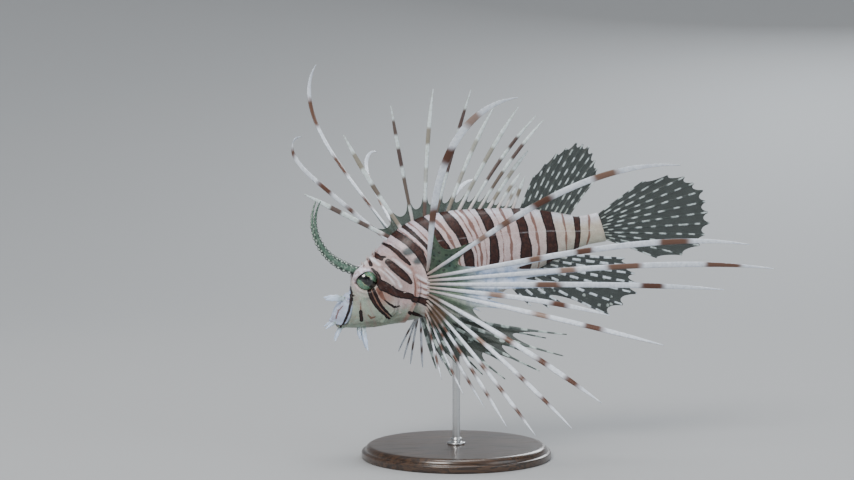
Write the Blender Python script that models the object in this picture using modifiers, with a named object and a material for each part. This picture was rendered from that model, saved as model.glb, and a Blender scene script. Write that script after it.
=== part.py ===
"""Red lionfish, life size, nose down to the left with its fins spread, on a round display stand.

Sizes are millimetres in the fish's own frame until the end: s runs from the snout to the tail,
w to the fish's left and h up. place() pitches that frame nose down and sets it over the stand.
"""
import bmesh
import bpy
import numpy as np

MM = 0.001

# The pose: how far the nose points down, and where the snout is over the middle of the stand.
PITCH = np.radians(18)
SNOUT_X, SNOUT_Z = -58, 66

# The gap between neighbouring nodes.
GAP = 0.35

# The body: station along the fish, then the height of the back and of the belly, half the width,
# and the height at which the body is widest.
STATIONS = (0, 1.5, 4, 6.5, 9, 12, 13.4, 15, 17, 20, 26, 33, 42, 54, 66, 78, 90, 102, 113, 123, 133)
BACK = (-0.6, 2.4, 5, 6.5, 7.5, 9.6, 12.4, 15, 16.4, 17.4, 21, 24.8, 28.5, 30.2, 28.9, 26, 22.4, 18.2, 12.9,
        8, 6.4)
BELLY = (-3.2, -5.2, -6.4, -7.4, -8.3, -9.3, -9.7, -10.1, -10.6, -11.1, -12, -12.9, -14.2, -16, -16.6, -14.8,
         -11.6, -8.9, -7, -6.4, -7.6)
HALF_WIDTH = (1.6, 3.3, 4.9, 5.8, 6.4, 7, 7.3, 7.6, 8.1, 8.7, 9.8, 11, 11.9, 11.7, 10.4, 8.8, 7.2, 5.8, 4.5, 3.4,
              2.4)
WIDEST_AT = (-1.8, -0.8, -0.2, 0.2, 0.6, 1, 1.2, 1.6, 2.2, 3, 4, 5, 5, 4.6, 4.6, 4.4, 4.2, 3.8, 2.4, 0.8, -0.6)
BODY_LENGTH = STATIONS[-1]

# The head ends at the gill cover, furthest back at mid height; the tail starts ahead of the peduncle.
GILL_BACK, GILL_TOP, GILL_BELOW = 43, 34, 31
TAIL_AT = 97
HEAD_ROWS, TORSO_ROWS, TAIL_ROWS, AROUND = 22, 16, 9, 32

# The eyes, their sockets' raised rim, and the ridges of the cheek.
EYE = (20.1, 5.7, 11.5)
EYE_RADIUS, EYE_DEPTH = 4.8, 3.3
RIM_HEIGHT, RIM_WIDTH = 0.8, 1.2

RIM_OFFSET = 0.9
RIDGE_HEIGHT, RIDGE_WIDTH, RIDGE_FROM, RIDGE_TO = 0.7, 1.3, 12, 33
RIDGE_LEVEL, RIDGE_RISE = 3.6, 0.16
COVER_LIFT, COVER_LENGTH = 0.6, 7

# Every fin's table gives its rays by number (those between are evened out): length, then angles from
# the fish's axis at the root and at the tip, and angles away from the middle plane at root and tip.
DORSAL_SPINES = {
    "numbers": (1, 2, 3, 4, 5, 6, 7, 8, 9, 10, 11, 12, 13),
    "length": (44, 50, 54, 59, 59, 53, 55, 54, 51, 33, 20, 12, 16),
    "root": (135, 106, 84, 70, 58, 51, 45, 41, 41, 41, 42, 46, 52),
    "tip": (135, 99, 82, 64, 55, 42, 38, 28, 29, 31, 34, 44, 50),
    "out": (6, -5, 4, -3, 4, -4, 3, -3, 3, -2, 2, 0, 0),
    "out_tip": (6, -5, 4, -3, 4, -4, 3, -3, 3, -2, 2, 0, 0),
}
DORSAL_FROM, DORSAL_TO = 36.5, 95.5
SOFT_DORSAL = {
    "numbers": (1, 3, 5, 7, 9, 11),
    "length": (17, 29, 36, 36, 30, 23),
    "root": (52, 49, 46, 44, 42, 40),
    "tip": (47, 44, 41, 38, 34, 30),
    "out": (0, 0, 0, 0, 0, 0),
    "out_tip": (3, 3, 3, 3, 3, 3),
}
SOFT_FROM, SOFT_TO = 99, 120
TAIL_FIN = {
    "numbers": (1, 2, 3, 5, 8, 10, 11, 12),
    "length": (27, 38, 45, 51, 51, 46, 38, 26),
    "root": (20, 14, 9, 0, -14, -24, -30, -36),
    "tip": (16, 11, 7, -1, -15, -25, -32, -40),
    "out": (-2, -2, -2, -2, -2, -2, -2, -2),
    "out_tip": (6, 6, 6, 6, 6, 6, 6, 6),
}
TAIL_FIN_TOP, TAIL_FIN_LOW = 5.4, -6.6
ANAL_FIN = {
    "numbers": (1, 2, 3, 4, 6, 8, 10),
    "length": (13, 19, 25, 42, 47, 39, 28),
    "root": (-66, -60, -54, -48, -36, -30, -25),
    "tip": (-60, -54, -48, -42, -31, -25, -20),
    "out": (0, 0, 0, 0, 0, 0, 0),
    "out_tip": (4, 4, 4, 4, 4, 4, 4),
}
ANAL_FROM, ANAL_TO = 84, 113
PELVIC_FIN = {
    "numbers": (1, 2, 3, 4, 5, 6),
    "length": (30, 37, 46, 56, 62, 60),
    "root": (-86, -78, -62, -49, -39, -30),
    "tip": (-82, -74, -56, -43, -33, -24),
    "out": (22, 24, 26, 28, 28, 26),
    "out_tip": (16, 18, 16, 12, 8, 4),
}
PELVIC_FROM, PELVIC_TO, PELVIC_OFFSET, RIGHT_PELVIC_SWING = 40, 47, 4.5, -6

# The near pectoral sweeps up and back, the far one is swung forward and out. A ray's curve comes later
# along it with a higher power, and the lower rays are slimmer by the share in "size".
PECTORAL_RAYS = tuple(range(1, 15))
LEFT_PECTORAL = {
    "numbers": PECTORAL_RAYS,
    "length": (105, 128, 146, 156, 134, 84, 110, 95, 92, 83, 72, 58, 47, 36),
    "root": (74, 20, -6, -12, -17, -23, -29, -46, -57, -69, -76, -85, -94, -103),
    "tip": (-12, -22, -26, -25, -23, -33, -33, -55, -66, -74, -80, -78, -83, -97),
    "out": (44, 38, 34, 32, 32, 32, 34, 38, 42, 44, 46, 46, 46, 46),
    "out_tip": (18, 12, 8, 6, 6, 8, 12, 20, 24, 26, 28, 28, 30, 32),
    "power": (2.6, 2.5, 3, 3, 3, 2, 1.5, 1, 1, 1, 1, 1, 1, 1),
    "size": (1, 1, 1, 1, 1, 0.9, 0.9, 0.95, 0.7, 0.65, 0.55, 0.5, 0.45, 0.4),
}
LEFT_PECTORAL_WEBS = (0.25, 0.2, 0.35, 0.4, 0.42, 0.42, 0.35, 0.33, 0.33, 0.33, 0.33, 0.33, 0.33)
RIGHT_PECTORAL = {
    "numbers": PECTORAL_RAYS,
    "length": (108, 125, 118, 126, 118, 92, 100, 92, 88, 80, 68, 56, 46, 36),
    "root": (121, 108, 93, 34, 16, 0, -14, -36, -58, -80, -96, -108, -118, -130),
    "tip": (-35, 38, -40, -35, -26, -28, -30, -46, -64, -82, -96, -106, -114, -124),
    "out": (38, 30, 64, 66, 68, 68, 68, 66, 64, 62, 60, 58, 56, 54),
    "out_tip": (30, 20, 50, 52, 54, 56, 56, 54, 52, 50, 48, 46, 44, 42),
    "power": (12, 5, 10, 8, 3, 2, 1, 1, 1, 1, 1, 1, 1, 1),
    "size": (1, 0.85, 1, 0.8, 0.75, 0.7, 0.7, 0.65, 0.65, 0.6, 0.55, 0.5, 0.45, 0.4),
}
RIGHT_PECTORAL_WEBS = (0.3, 0.25, 0.25, 0.25, 0.33, 0.33, 0.33, 0.33, 0.33, 0.33, 0.33, 0.33, 0.33)
PECTORAL_TOP, PECTORAL_LOW = (47.5, 7.3), (41.5, -11)
WEB_THICK = 0.5

# The brow tentacles: where they leave the brow, then length, angles at root and tip, and their section.
TENTACLE_ROOT = (19.1, 3.2, 15.9)
TENTACLE_LENGTH, TENTACLE_RISE, TENTACLE_OUT, TENTACLE_POWER = 45, (152, 44), (8, 14), 1.15
TENTACLE_WIDTH, TENTACLE_THICK = 4.8, 1.3

# The mouth's line on each side, from the chin's middle up behind the upper jaw, and the nostrils.
MOUTH_S = (-0.4, 1.2, 3.4, 5.8, 8.2, 10, 11.2, 11.9)
MOUTH_H = (-2.4, -3.9, -5.2, -4.6, -2, 1.4, 4.6, 7.4)
MOUTH_RADIUS = 0.38
NOSTRILS = ((9.6, 5.6), (12.4, 6.6))
NOSTRIL_RADIUS = 0.45

# Spines of the head on each side: station, height, length, then heading along, out and up.
HEAD_SPINES = ((21.2, 17, 2, 0, 0.35, 1), (23.8, 18.6, 2.4, 0.2, 0.3, 1), (26.8, 20.2, 2.2, 0.3, 0.25, 1),
               (12.4, 5, 1.8, -0.2, 1, 0.1), (32.5, 5.6, 2.2, 1, 0.9, 0), (33.5, 1.5, 2.4, 1, 0.9, -0.3),
               (32.5, -3, 2.2, 0.7, 0.9, -0.8), (40, 9, 2, 1, 0.6, 0.2))
SPINE_FOOT = 0.75

# Skin flaps of the jaws on each side: station, height, length, width, then heading along, out and up.
FLAPS = ((8.6, 6, 10.5, 2.2, -1, 0.22, 0.42), (1.6, -2.6, 6.5, 1.4, -1, 0.35, -0.05),
         (3.6, -5.4, 7.5, 1.5, -0.8, 0.3, -0.55), (10.4, -8.2, 5, 1.4, -0.3, 0.3, -1),
         (12.6, -8.6, 10, 2, -0.3, 0.35, -1))
FLAP_THICK = 0.9

# How deep the foot of a spine or flap sinks into the head.
SUNK = 0.9

# The stand: a round base and one rod up to the belly.
BASE_RADIUS, BASE_HEIGHT, BASE_EDGE = 44, 6, 1.2
ROD_RADIUS = 1.8


def eased(x, keys, values):
    """A smooth curve through the values: a cubic between each two keys, level slopes shared."""
    keys, values = np.asarray(keys, float), np.asarray(values, float)
    slope = np.gradient(values, keys)
    x = np.clip(x, keys[0], keys[-1])
    i = np.clip(np.searchsorted(keys, x) - 1, 0, len(keys) - 2)
    span = keys[i + 1] - keys[i]
    t = (x - keys[i]) / span
    return (values[i] * (2 * t**3 - 3 * t**2 + 1) + values[i + 1] * (3 * t**2 - 2 * t**3)
            + span * (slope[i] * (t**3 - 2 * t**2 + t) + slope[i + 1] * (t**3 - t**2)))


def place(points):
    """World metres of points in the fish's frame."""
    s, w, h = np.moveaxis(np.asarray(points, float), -1, 0)
    x = SNOUT_X + s * np.cos(PITCH) - h * np.sin(PITCH)
    z = SNOUT_Z + s * np.sin(PITCH) + h * np.cos(PITCH)
    return np.stack([x, -w, z], -1) * MM


def section(s):
    """Back, belly, half width and widest height at a station."""
    return [eased(s, STATIONS, values) for values in (BACK, BELLY, HALF_WIDTH, WIDEST_AT)]


def relief(s, w, h):
    """How far the skin stands off the plain body: the orbit's rim, the cheek ridge and the gill cover."""
    from_eye = np.hypot(s - EYE[0], h - EYE[2])
    from_rim = from_eye - EYE_RADIUS - RIM_OFFSET
    rim = RIM_HEIGHT * np.exp(-((from_rim / RIM_WIDTH) ** 2)) * (np.abs(w) > 3)
    level = RIDGE_LEVEL + RIDGE_RISE * (s - RIDGE_FROM)
    fade = np.clip((s - RIDGE_FROM) / 3, 0, 1) * np.clip((RIDGE_TO - s) / 4, 0, 1)
    ridge = RIDGE_HEIGHT * np.exp(-(((h - level) / RIDGE_WIDTH) ** 2)) * fade
    cover = COVER_LIFT * np.clip((s - gill_edge(h) + COVER_LENGTH) / COVER_LENGTH, 0, 1) ** 2
    return rim + ridge + cover


def gill_edge(h):
    """The station of the gill cover's rear edge at a height."""
    up = np.clip((h - 6) / 20, 0, 1)
    down = np.clip((6 - h) / 19, 0, 1)
    return GILL_BACK - (GILL_BACK - GILL_TOP) * up**1.6 - (GILL_BACK - GILL_BELOW) * down**1.8


def skin(s, angle, raised=0.0, is_head=False):
    """The body's surface: a section of two half ellipses, its angle counted from the left side up."""
    back, belly, wide, mid = section(s)
    c, d = np.cos(angle), np.sin(angle)
    w = wide * np.sign(c) * np.abs(c) ** 0.95
    h = mid + np.where(d > 0, back - mid, mid - belly) * d
    stand_off = raised + (relief(s, w, h) if is_head else 0.0)
    return np.stack([s + 0 * w, w + stand_off * c, h + stand_off * d], -1)


def side_at(s, h, raised=0.0):
    """The half width of the body at a station and height."""
    back, belly, wide, mid = section(s)
    t = np.clip((h - mid) / np.where(h > mid, back - mid, mid - belly), -0.98, 0.98)
    return wide * np.sqrt(1 - t**2) ** 0.95 + raised


def top_at(s, w, raised=0.0):
    """The height of the back at a station and offset from the middle."""
    back, _, wide, mid = section(s)
    return mid + (back - mid) * np.sqrt(np.clip(1 - (np.abs(w) / wide) ** 2, 0, 1)) + raised


def belly_at(s, w, lowered=0.0):
    """The height of the belly at a station and offset from the middle."""
    _, belly, wide, mid = section(s)
    return mid - (mid - belly) * np.sqrt(np.clip(1 - (np.abs(w) / wide) ** 2, 0, 1)) - lowered


def mesh_object(name, points, faces, material, collection):
    """A closed mesh as an object, its points in world metres."""
    mesh = bpy.data.meshes.new(name)
    mesh.from_pydata(np.asarray(points).tolist(), [], np.asarray(faces, dtype=object).tolist())
    shell = bmesh.new()
    shell.from_mesh(mesh)
    bmesh.ops.recalc_face_normals(shell, faces=shell.faces)
    shell.to_mesh(mesh)
    shell.free()
    mesh.polygons.foreach_set("use_smooth", [True] * len(mesh.polygons))
    mesh.materials.append(material)
    obj = bpy.data.objects.new(name, mesh)
    collection.objects.link(obj)
    return obj


def closed_rings(name, points, rows, around, material, collection):
    """Rings of points joined side to side, the last two points closing the first and last ring."""
    faces = []
    for r in range(rows - 1):
        for a in range(around):
            b = (a + 1) % around
            faces.append((r * around + a, r * around + b, (r + 1) * around + b, (r + 1) * around + a))
    for a in range(around):
        b = (a + 1) % around
        faces.append((a, len(points) - 2, b))
        faces.append(((rows - 1) * around + a, (rows - 1) * around + b, len(points) - 1))
    return mesh_object(name, points, faces, material, collection)


def lofted(name, rings, material, collection, first=None, last=None):
    """Rings in the fish's frame, closed at both ends on a middle point."""
    ends = [rings[0].mean(0) if first is None else first, rings[-1].mean(0) if last is None else last]
    points = place(np.concatenate([rings.reshape(-1, 3), ends]))
    return closed_rings(name, points, *rings.shape[:2], material, collection)


def body_piece(name, start, end, rows, material, collection, is_head=False, power=1.0, raised=0.0):
    """A length of the body, start and end giving its station at each angle."""
    angle = np.linspace(0, 2 * np.pi, AROUND, endpoint=False)
    t = np.linspace(0, 1, rows + 1)[:, None] ** power
    s = start(angle) + (end(angle) - start(angle)) * t
    return lofted(name, skin(s, angle + 0 * s, raised, is_head), material, collection)


def gill_station(angle):
    """The station of the gill cover's edge at an angle round the body, by two steps of its height."""
    s = np.full_like(angle, GILL_BACK)
    for _ in range(12):
        s = 0.5 * s + 0.5 * gill_edge(skin(s, angle)[..., 2])
    return s


def turned(v, root, tip, power):
    """An angle that goes from its root value to its tip value along a ray, later with a higher power."""
    root, tip, power = (np.reshape(value, (-1, 1)) for value in (root, tip, power))
    return np.radians(root + (tip - root) * v**power)


def rays(roots, length, rise, out, power, side, steps=48):
    """Centre lines of a fin's rays: each heads off at its root angles and turns to its tip angles."""
    v = np.linspace(0, 1, steps + 1)
    up = turned(v, *rise, power[0])
    away = turned(v, *out, power[1])
    heading = np.stack([np.cos(away) * np.cos(up), side * np.sin(away), np.cos(away) * np.sin(up)], -1)
    stepped = (heading[:, 1:] + heading[:, :-1]) / 2 * (length[:, None, None] / steps)
    return np.concatenate([roots[:, None], roots[:, None] + np.cumsum(stepped, 1)], 1), heading


def along(lines, v):
    """Points of each line at its own fraction of the length."""
    at = np.clip(v, 0, 1) * (lines.shape[1] - 1)
    i = np.minimum(at.astype(int), lines.shape[1] - 2)
    pick = np.arange(len(lines))[:, None]
    f = (at - i)[..., None]
    return lines[pick, i] * (1 - f) + lines[pick, i + 1] * f


def fin(name, fan, material, collection):
    """A fin as one closed plate: each ray is three columns with the middle one thick, and a web joins
    two rays up to its own share of their length, cut back in the middle."""
    count, rows = len(fan["length"]), fan["rows"]
    share = np.linspace(0, 1, count) if "at" not in fan else np.asarray(fan["at"])
    roots = fan["root"](share, 0.0)
    lines, heading = rays(roots, fan["length"], fan["rise"], fan["out"], fan["power"], fan["side"])
    v = np.linspace(0, 1, rows + 1) ** fan.get("crowd", 1.0)
    v_all = np.broadcast_to(v, (count, rows + 1))
    centre, forward = along(lines, v_all), along(heading, v_all)
    across = np.gradient(centre, axis=0)
    across[:, 0] = np.gradient(roots, axis=0)
    across -= (across * forward).sum(-1, keepdims=True) * forward
    across /= np.linalg.norm(across, axis=-1, keepdims=True)
    normal = np.cross(forward, across)
    half_wide = fan["wide"](v)[None, :, None] * fan["size"][:, None, None] / 2
    left, right = centre - across * half_wide, centre + across * half_wide
    thick = np.broadcast_to(fan["thick"](v), (count, rows + 1)) / 2
    thin = np.full((count, rows + 1), fan["web_thick"] / 2)

    # Columns in order: left edge, middle and right edge of a ray, then the middle of the web.
    columns, normals, halves, places = [], [], [], []
    nudge = 0.3 / max(count - 1, 1)
    webs = [int(round(x * rows)) for x in fan["web"]]
    for i in range(count):
        columns += [left[i], centre[i], right[i]]
        normals += [normal[i]] * 3
        halves += [thin[i], thick[i], thin[i]]
        places += [share[i] - nudge, share[i], share[i] + nudge]
        if i < count - 1:
            reach = np.arange(rows + 1) / max(webs[i], 1)
            pulled = v * (1 - fan["notch"] * np.clip(reach, 0, 1) ** 2)
            pair = along(lines[i:i + 2], np.broadcast_to(pulled, (2, rows + 1)))
            columns.append(pair.mean(0))
            normals.append((normal[i] + normal[i + 1]) / 2)
            halves.append(thin[i])
            places.append((share[i] + share[i + 1]) / 2)
    middle, normals, halves = np.array(columns), np.array(normals), np.array(halves)
    normals /= np.linalg.norm(normals, axis=-1, keepdims=True)
    front, rear = middle + normals * halves[..., None], middle - normals * halves[..., None]

    # The root row lies on the body.
    places = np.clip(places, -nudge, 1 + nudge)
    foot = fan["foot"] / 2
    a, b = fan["root"](places, foot), fan["root"](places, -foot)
    turn = ((a - b) * normals[:, 0]).sum() < 0
    front[:, 0], rear[:, 0] = (b, a) if turn else (a, b)

    size = rows + 1
    cells = []
    for i in range(count):
        first = 4 * i
        cells += [(c, r) for c in (first, first + 1) for r in range(rows)]
        if i < count - 1:
            cells += [(c, r) for c in (first + 2, first + 3) for r in range(webs[i])]
    quads = [(c * size + r, c * size + r + 1, (c + 1) * size + r + 1, (c + 1) * size + r) for c, r in cells]
    half = len(middle) * size
    edges = {(q[k], q[(k + 1) % 4]) for q in quads for k in range(4)}
    faces = []
    for p, q, r, t in quads:
        faces += [(p, q, r), (p, r, t), (half + p, half + r, half + q), (half + p, half + t, half + r)]
    for p, q in sorted(edges):
        if (q, p) not in edges:
            faces += [(q, p, half + p), (q, half + p, half + q)]
    points = np.concatenate([front.reshape(-1, 3), rear.reshape(-1, 3)])
    used = np.unique(faces)
    renumber = np.zeros(len(points), int)
    renumber[used] = np.arange(len(used))
    return mesh_object(name, place(points[used]), renumber[np.array(faces)], material, collection)


def tapered(start, full, tip, peak=0.35):
    """A width or thickness along a ray that swells from the root to its full value and narrows to the tip."""
    def width(v):
        beyond = np.clip((v - peak) / (1 - peak), 0, 1)
        return np.where(v < peak, start + (full - start) * v / peak, full + (tip - full) * beyond**1.5)
    return width


def bladed(start, full, tip, peak=0.4, fall=0.72):
    """A width along a ray that stays full over most of it and narrows quickly at the tip."""
    def width(v):
        beyond = np.clip((v - fall) / (1 - fall), 0, 1)
        return np.where(v < peak, start + (full - start) * v / peak, full + (tip - full) * beyond**1.6)
    return width


def fan_of(table):
    """A fin's length, angles, curve and size for every ray, straight between those the table numbers."""
    each = np.arange(1, max(table["numbers"]) + 1)
    value = {key: np.interp(each, table["numbers"], row) for key, row in table.items()}
    power = value.get("power", np.ones(len(each)))
    size = value.get("size", np.ones(len(each)))
    return {"length": value["length"], "rise": (value["root"], value["tip"]), "side": 1, "size": size,
            "out": (value["out"], value["out_tip"]), "power": (power, 1)}


def back_root(start, end):
    """Root points along the middle of the back, spread sideways by a thickness."""
    def root(share, side):
        s = start + (end - start) * np.asarray(share)
        return np.stack([s, side + 0 * s, top_at(s, side, GAP)], -1)
    return root


def belly_root(start, end, w=0.0):
    """Root points along the belly at an offset from its middle."""
    def root(share, side):
        s = start + (end - start) * np.asarray(share)
        across = w + side + 0 * s
        return np.stack([s, across, belly_at(s, across, GAP)], -1)
    return root


def flank_root(side, s_top, s_low, h_top, h_low):
    """Root points down the side behind the gill cover, spread along the fish by a thickness."""
    def root(share, ahead):
        share = np.asarray(share)
        s = s_top + (s_low - s_top) * share + ahead
        h = h_top + (h_low - h_top) * share
        return np.stack([s, side * (side_at(s, h, GAP)), h], -1)
    return root


def tail_root(h_top, h_low):
    """Root points down the end of the tail."""
    def root(share, side):
        h = h_top + (h_low - h_top) * np.asarray(share)
        return np.stack([BODY_LENGTH + GAP + 0 * h, side + 0 * h, h], -1)
    return root


def tube(name, path, wide, thick, flat, around, material, collection):
    """A tapering strip of oval section along a path, thin along the flat direction."""
    path, flat = np.asarray(path, float), np.asarray(flat, float)
    forward = np.gradient(path, axis=0)
    forward /= np.linalg.norm(forward, axis=1, keepdims=True)
    thin_way = flat - (forward @ flat)[:, None] * forward
    thin_way /= np.linalg.norm(thin_way, axis=1, keepdims=True)
    wide_way = np.cross(thin_way, forward)
    turn = np.linspace(0, 2 * np.pi, around, endpoint=False)
    wide, thick = (np.asarray(size)[:, None, None] / 2 for size in (wide, thick))
    rings = (path[:, None] + wide_way[:, None] * np.cos(turn)[None, :, None] * wide
             + thin_way[:, None] * np.sin(turn)[None, :, None] * thick)
    return lofted(name, rings, material, collection, first=path[0], last=path[-1])


def head_point(s, h, side, raised=0.0):
    """A point on the head's side at a station and height."""
    back, belly, _, mid = section(s)
    h = np.clip(h, mid + 0.97 * (belly - mid), mid + 0.97 * (back - mid))
    w = side_at(s, h)
    return np.stack(np.broadcast_arrays(s, side * (w + relief(s, w, h) + raised), h), -1)


def head_extras(material, collection):
    """The head's spines as small cones and its skin flaps as strips, each rooted under the skin."""
    made = []
    for side, label in ((1, "left"), (-1, "right")):
        for i, (s, h, length, along_s, out, up) in enumerate(HEAD_SPINES):
            heading = np.array([along_s, side * out, up]) / np.linalg.norm([along_s, out, up])
            path = head_point(s, h, side, -SUNK) + heading * np.array([[0], [1]]) * (length + SUNK)
            size = SPINE_FOOT * 2 * np.array([1, 0.3])
            flat = (0.1, 0.2, 1.0)
            made.append(tube(f"{label}_spine_{i}", path, size, size, flat, 5, material, collection))
        for i, (s, h, length, wide, along_s, out, up) in enumerate(FLAPS):
            heading = np.array([along_s, side * out, up]) / np.linalg.norm([along_s, out, up])
            t = np.linspace(0, 1, 4)[:, None]
            sag = np.array([0.12, 0, -0.1]) * length * t**2
            path = head_point(s, h, side, -SUNK) + heading * t * (length + SUNK) + sag
            shape = np.array([0.8, 1, 0.8, 0.45])
            thick = FLAP_THICK * np.maximum(shape, 0.7)
            flat = (0, 1, 0.1)
            made.append(tube(f"{label}_flap_{i}", path, wide * shape, thick, flat, 5, material, collection))
    return made


def mouth_cutter(collection):
    """A thin tube along the mouth's line, from behind one upper jaw round the snout to the other."""
    t = np.linspace(-1, 1, 31)
    knots = np.linspace(0, 1, len(MOUTH_S))
    s, h = eased(np.abs(t), knots, MOUTH_S), eased(np.abs(t), knots, MOUTH_H)
    w = side_at(np.maximum(s, 0), h) * np.clip(np.abs(t) / 0.12, 0, 1) ** 0.5
    path = np.stack([s, np.sign(t) * w, h], -1)
    size = np.full(len(t), 2 * MOUTH_RADIUS)
    return tube("mouth_line", path, size, size, (0.2, 0.1, 1), 6, None, collection)


def stand(metal, wood, collection):
    """The base, a cylinder with a rounded edge, and the rod, whose top follows the belly."""
    bpy.ops.mesh.primitive_cylinder_add(vertices=48, radius=BASE_RADIUS * MM, depth=BASE_HEIGHT * MM,
                                        location=(0, 0, BASE_HEIGHT / 2 * MM))
    base = bpy.context.object
    base.name = base.data.name = "stand_base"
    edge = base.modifiers.new("rounded_edge", "BEVEL")
    edge.width, edge.segments, edge.limit_method = BASE_EDGE * MM, 2, "ANGLE"
    base.data.materials.append(wood)

    turn = np.linspace(0, 2 * np.pi, 20, endpoint=False)
    x, y = ROD_RADIUS * np.cos(turn), ROD_RADIUS * np.sin(turn)
    s = np.full_like(x, 55)
    for _ in range(8):
        h = belly_at(s, -y, GAP)
        s = (x - SNOUT_X + h * np.sin(PITCH)) / np.cos(PITCH)
    top = SNOUT_Z + s * np.sin(PITCH) + h * np.cos(PITCH)
    foot = BASE_HEIGHT + GAP
    rings = np.array([np.stack([x, y, foot + (top - foot) * f], -1) for f in (0, 0.5, 1)])
    points = np.concatenate([rings.reshape(-1, 3), [rings[0].mean(0), rings[-1].mean(0)]])
    rod = closed_rings("stand_rod", points * MM, 3, len(turn), metal, collection)
    for obj in (base, rod):
        for owner in obj.users_collection:
            owner.objects.unlink(obj)
        collection.objects.link(obj)


def material(name, colour, roughness=0.45, metallic=0.0):
    made = bpy.data.materials.new(name)
    made.use_nodes = True
    shader = made.node_tree.nodes["Principled BSDF"]
    shader.inputs["Base Color"].default_value = (*colour, 1)
    shader.inputs["Roughness"].default_value = roughness
    shader.inputs["Metallic"].default_value = metallic
    return made


def boolean(obj, cutter, operation, solver="EXACT"):
    modifier = obj.modifiers.new(cutter.name, "BOOLEAN")
    modifier.operation, modifier.object, modifier.solver = operation, cutter, solver


def ball(name, centre, radii, material, collection, rows=10, around=18):
    """An ellipsoid, rows counted from its outer pole."""
    polar = np.linspace(0, np.pi, rows + 1)[1:-1, None]
    turn = np.linspace(0, 2 * np.pi, around, endpoint=False)
    ring = np.stack([np.sin(polar) * np.cos(turn), np.cos(polar) + 0 * turn, np.sin(polar) * np.sin(turn)], -1)
    pole = np.array([0, 1, 0])
    centre, radii = np.asarray(centre, float), np.asarray(radii, float)
    return lofted(name, centre + ring * radii, material, collection,
                  first=centre + pole * radii, last=centre - pole * radii)


def body(flesh, eyes, parts, tools):
    """Head, torso, tail and eyes, the eyes in sockets cut a gap wider."""
    head = body_piece("head", snout, gill_station, HEAD_ROWS, flesh, parts, is_head=True, power=1.25)
    behind_gill, tail_start = (lambda angle: gill_station(angle) + GAP), (lambda angle: 0 * angle + TAIL_AT)
    after_gap, body_end = (lambda angle: 0 * angle + TAIL_AT + GAP), (lambda angle: 0 * angle + BODY_LENGTH)
    body_piece("torso", behind_gill, tail_start, TORSO_ROWS, flesh, parts)
    body_piece("tail", after_gap, body_end, TAIL_ROWS, flesh, parts)
    for side, label in ((1, "left"), (-1, "right")):
        centre = (EYE[0], side * EYE[1], EYE[2])
        radii = np.array([EYE_RADIUS, EYE_DEPTH, EYE_RADIUS])
        ball(f"{label}_eye", centre, radii, eyes, parts)
        socket = ball(f"{label}_socket", centre, radii + GAP, eyes, tools)
        boolean(head, socket, "DIFFERENCE")
    return head


def snout(angle):
    """The station where the head starts, at every angle round it."""
    return 0 * angle


def face(head, flesh, tools):
    """The head's spines and flaps joined to it, then its mouth line and nostrils cut."""
    for extra in head_extras(flesh, tools):
        boolean(head, extra, "UNION")
    boolean(head, mouth_cutter(tools), "DIFFERENCE")
    for side, label in ((1, "left"), (-1, "right")):
        for i, (s, h) in enumerate(NOSTRILS):
            radii = np.full(3, NOSTRIL_RADIUS)
            pit = ball(f"{label}_nostril_{i}", head_point(s, h, side), radii, flesh, tools, 5, 8)
            boolean(head, pit, "DIFFERENCE")


def tentacles(fins, flesh, parts, tools):
    """The brow tentacles, each cut clear of the brow it stands on."""
    clearance = body_piece("brow_clearance", snout, gill_station, HEAD_ROWS, flesh, tools, is_head=True,
                           power=1.25, raised=GAP)
    rise, out = (tuple(np.array([angle]) for angle in pair) for pair in (TENTACLE_RISE, TENTACLE_OUT))
    for side, label in ((1, "left"), (-1, "right")):
        start = np.array(TENTACLE_ROOT) * (1, side, 1)
        line, _ = rays(start[None], np.array([TENTACLE_LENGTH]), rise, out, (TENTACLE_POWER, 1), side)
        v = np.linspace(0, 1, 15)
        path = along(line, v[None])[0]
        wide = eased(v, (0, 0.12, 0.35, 0.6, 1), np.array([0.75, 1, 0.85, 0.58, 0.18]) * TENTACLE_WIDTH)
        thick = eased(v, (0, 0.3, 1), np.array([1.2, 1, 0.45]) * TENTACLE_THICK)
        feeler = tube(f"{label}_brow_tentacle", path, wide, thick, (0, 1, 0.15), 8, fins, parts)
        boolean(feeler, clearance, "DIFFERENCE")


def dorsal_spines(fins, parts):
    """Thirteen spines joined by a low web, further apart in front."""
    even = np.linspace(0, 1, len(DORSAL_SPINES["numbers"]))
    fin("dorsal_spines", fan_of(DORSAL_SPINES) | dict(
        power=(1.5, 1), rows=7, root=back_root(DORSAL_FROM, DORSAL_TO), at=even * (1.35 - 0.35 * even),
        web=[0.13] * 12, notch=0.5, foot=1.2, web_thick=WEB_THICK,
        wide=tapered(1.5, 1.5, 0.6, 0.5), thick=tapered(1.2, 1.1, 0.55)), fins, parts)


def soft_dorsal_fin(fins, parts):
    fin("soft_dorsal_fin", fan_of(SOFT_DORSAL) | dict(
        rows=4, root=back_root(SOFT_FROM, SOFT_TO), web=[1.0] * 10, notch=0.06, foot=1.4, web_thick=WEB_THICK,
        wide=tapered(0.8, 0.9, 0.6), thick=tapered(1.3, 0.9, 0.55)), fins, parts)


def tail_fin(fins, parts):
    fin("tail_fin", fan_of(TAIL_FIN) | dict(
        rows=5, root=tail_root(TAIL_FIN_TOP, TAIL_FIN_LOW), web=[1.0] * 11, notch=0.05, foot=3.0,
        web_thick=WEB_THICK, wide=tapered(0.6, 1.0, 0.7), thick=tapered(1.6, 0.9, 0.55)), fins, parts)


def anal_fin(fins, parts):
    fin("anal_fin", fan_of(ANAL_FIN) | dict(
        rows=5, root=belly_root(ANAL_FROM, ANAL_TO), web=[0.8, 0.8, 0.6] + [1.0] * 6, notch=0.08, foot=1.4,
        web_thick=WEB_THICK, wide=tapered(0.9, 1.1, 0.6), thick=tapered(1.4, 1.0, 0.55)), fins, parts)


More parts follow.
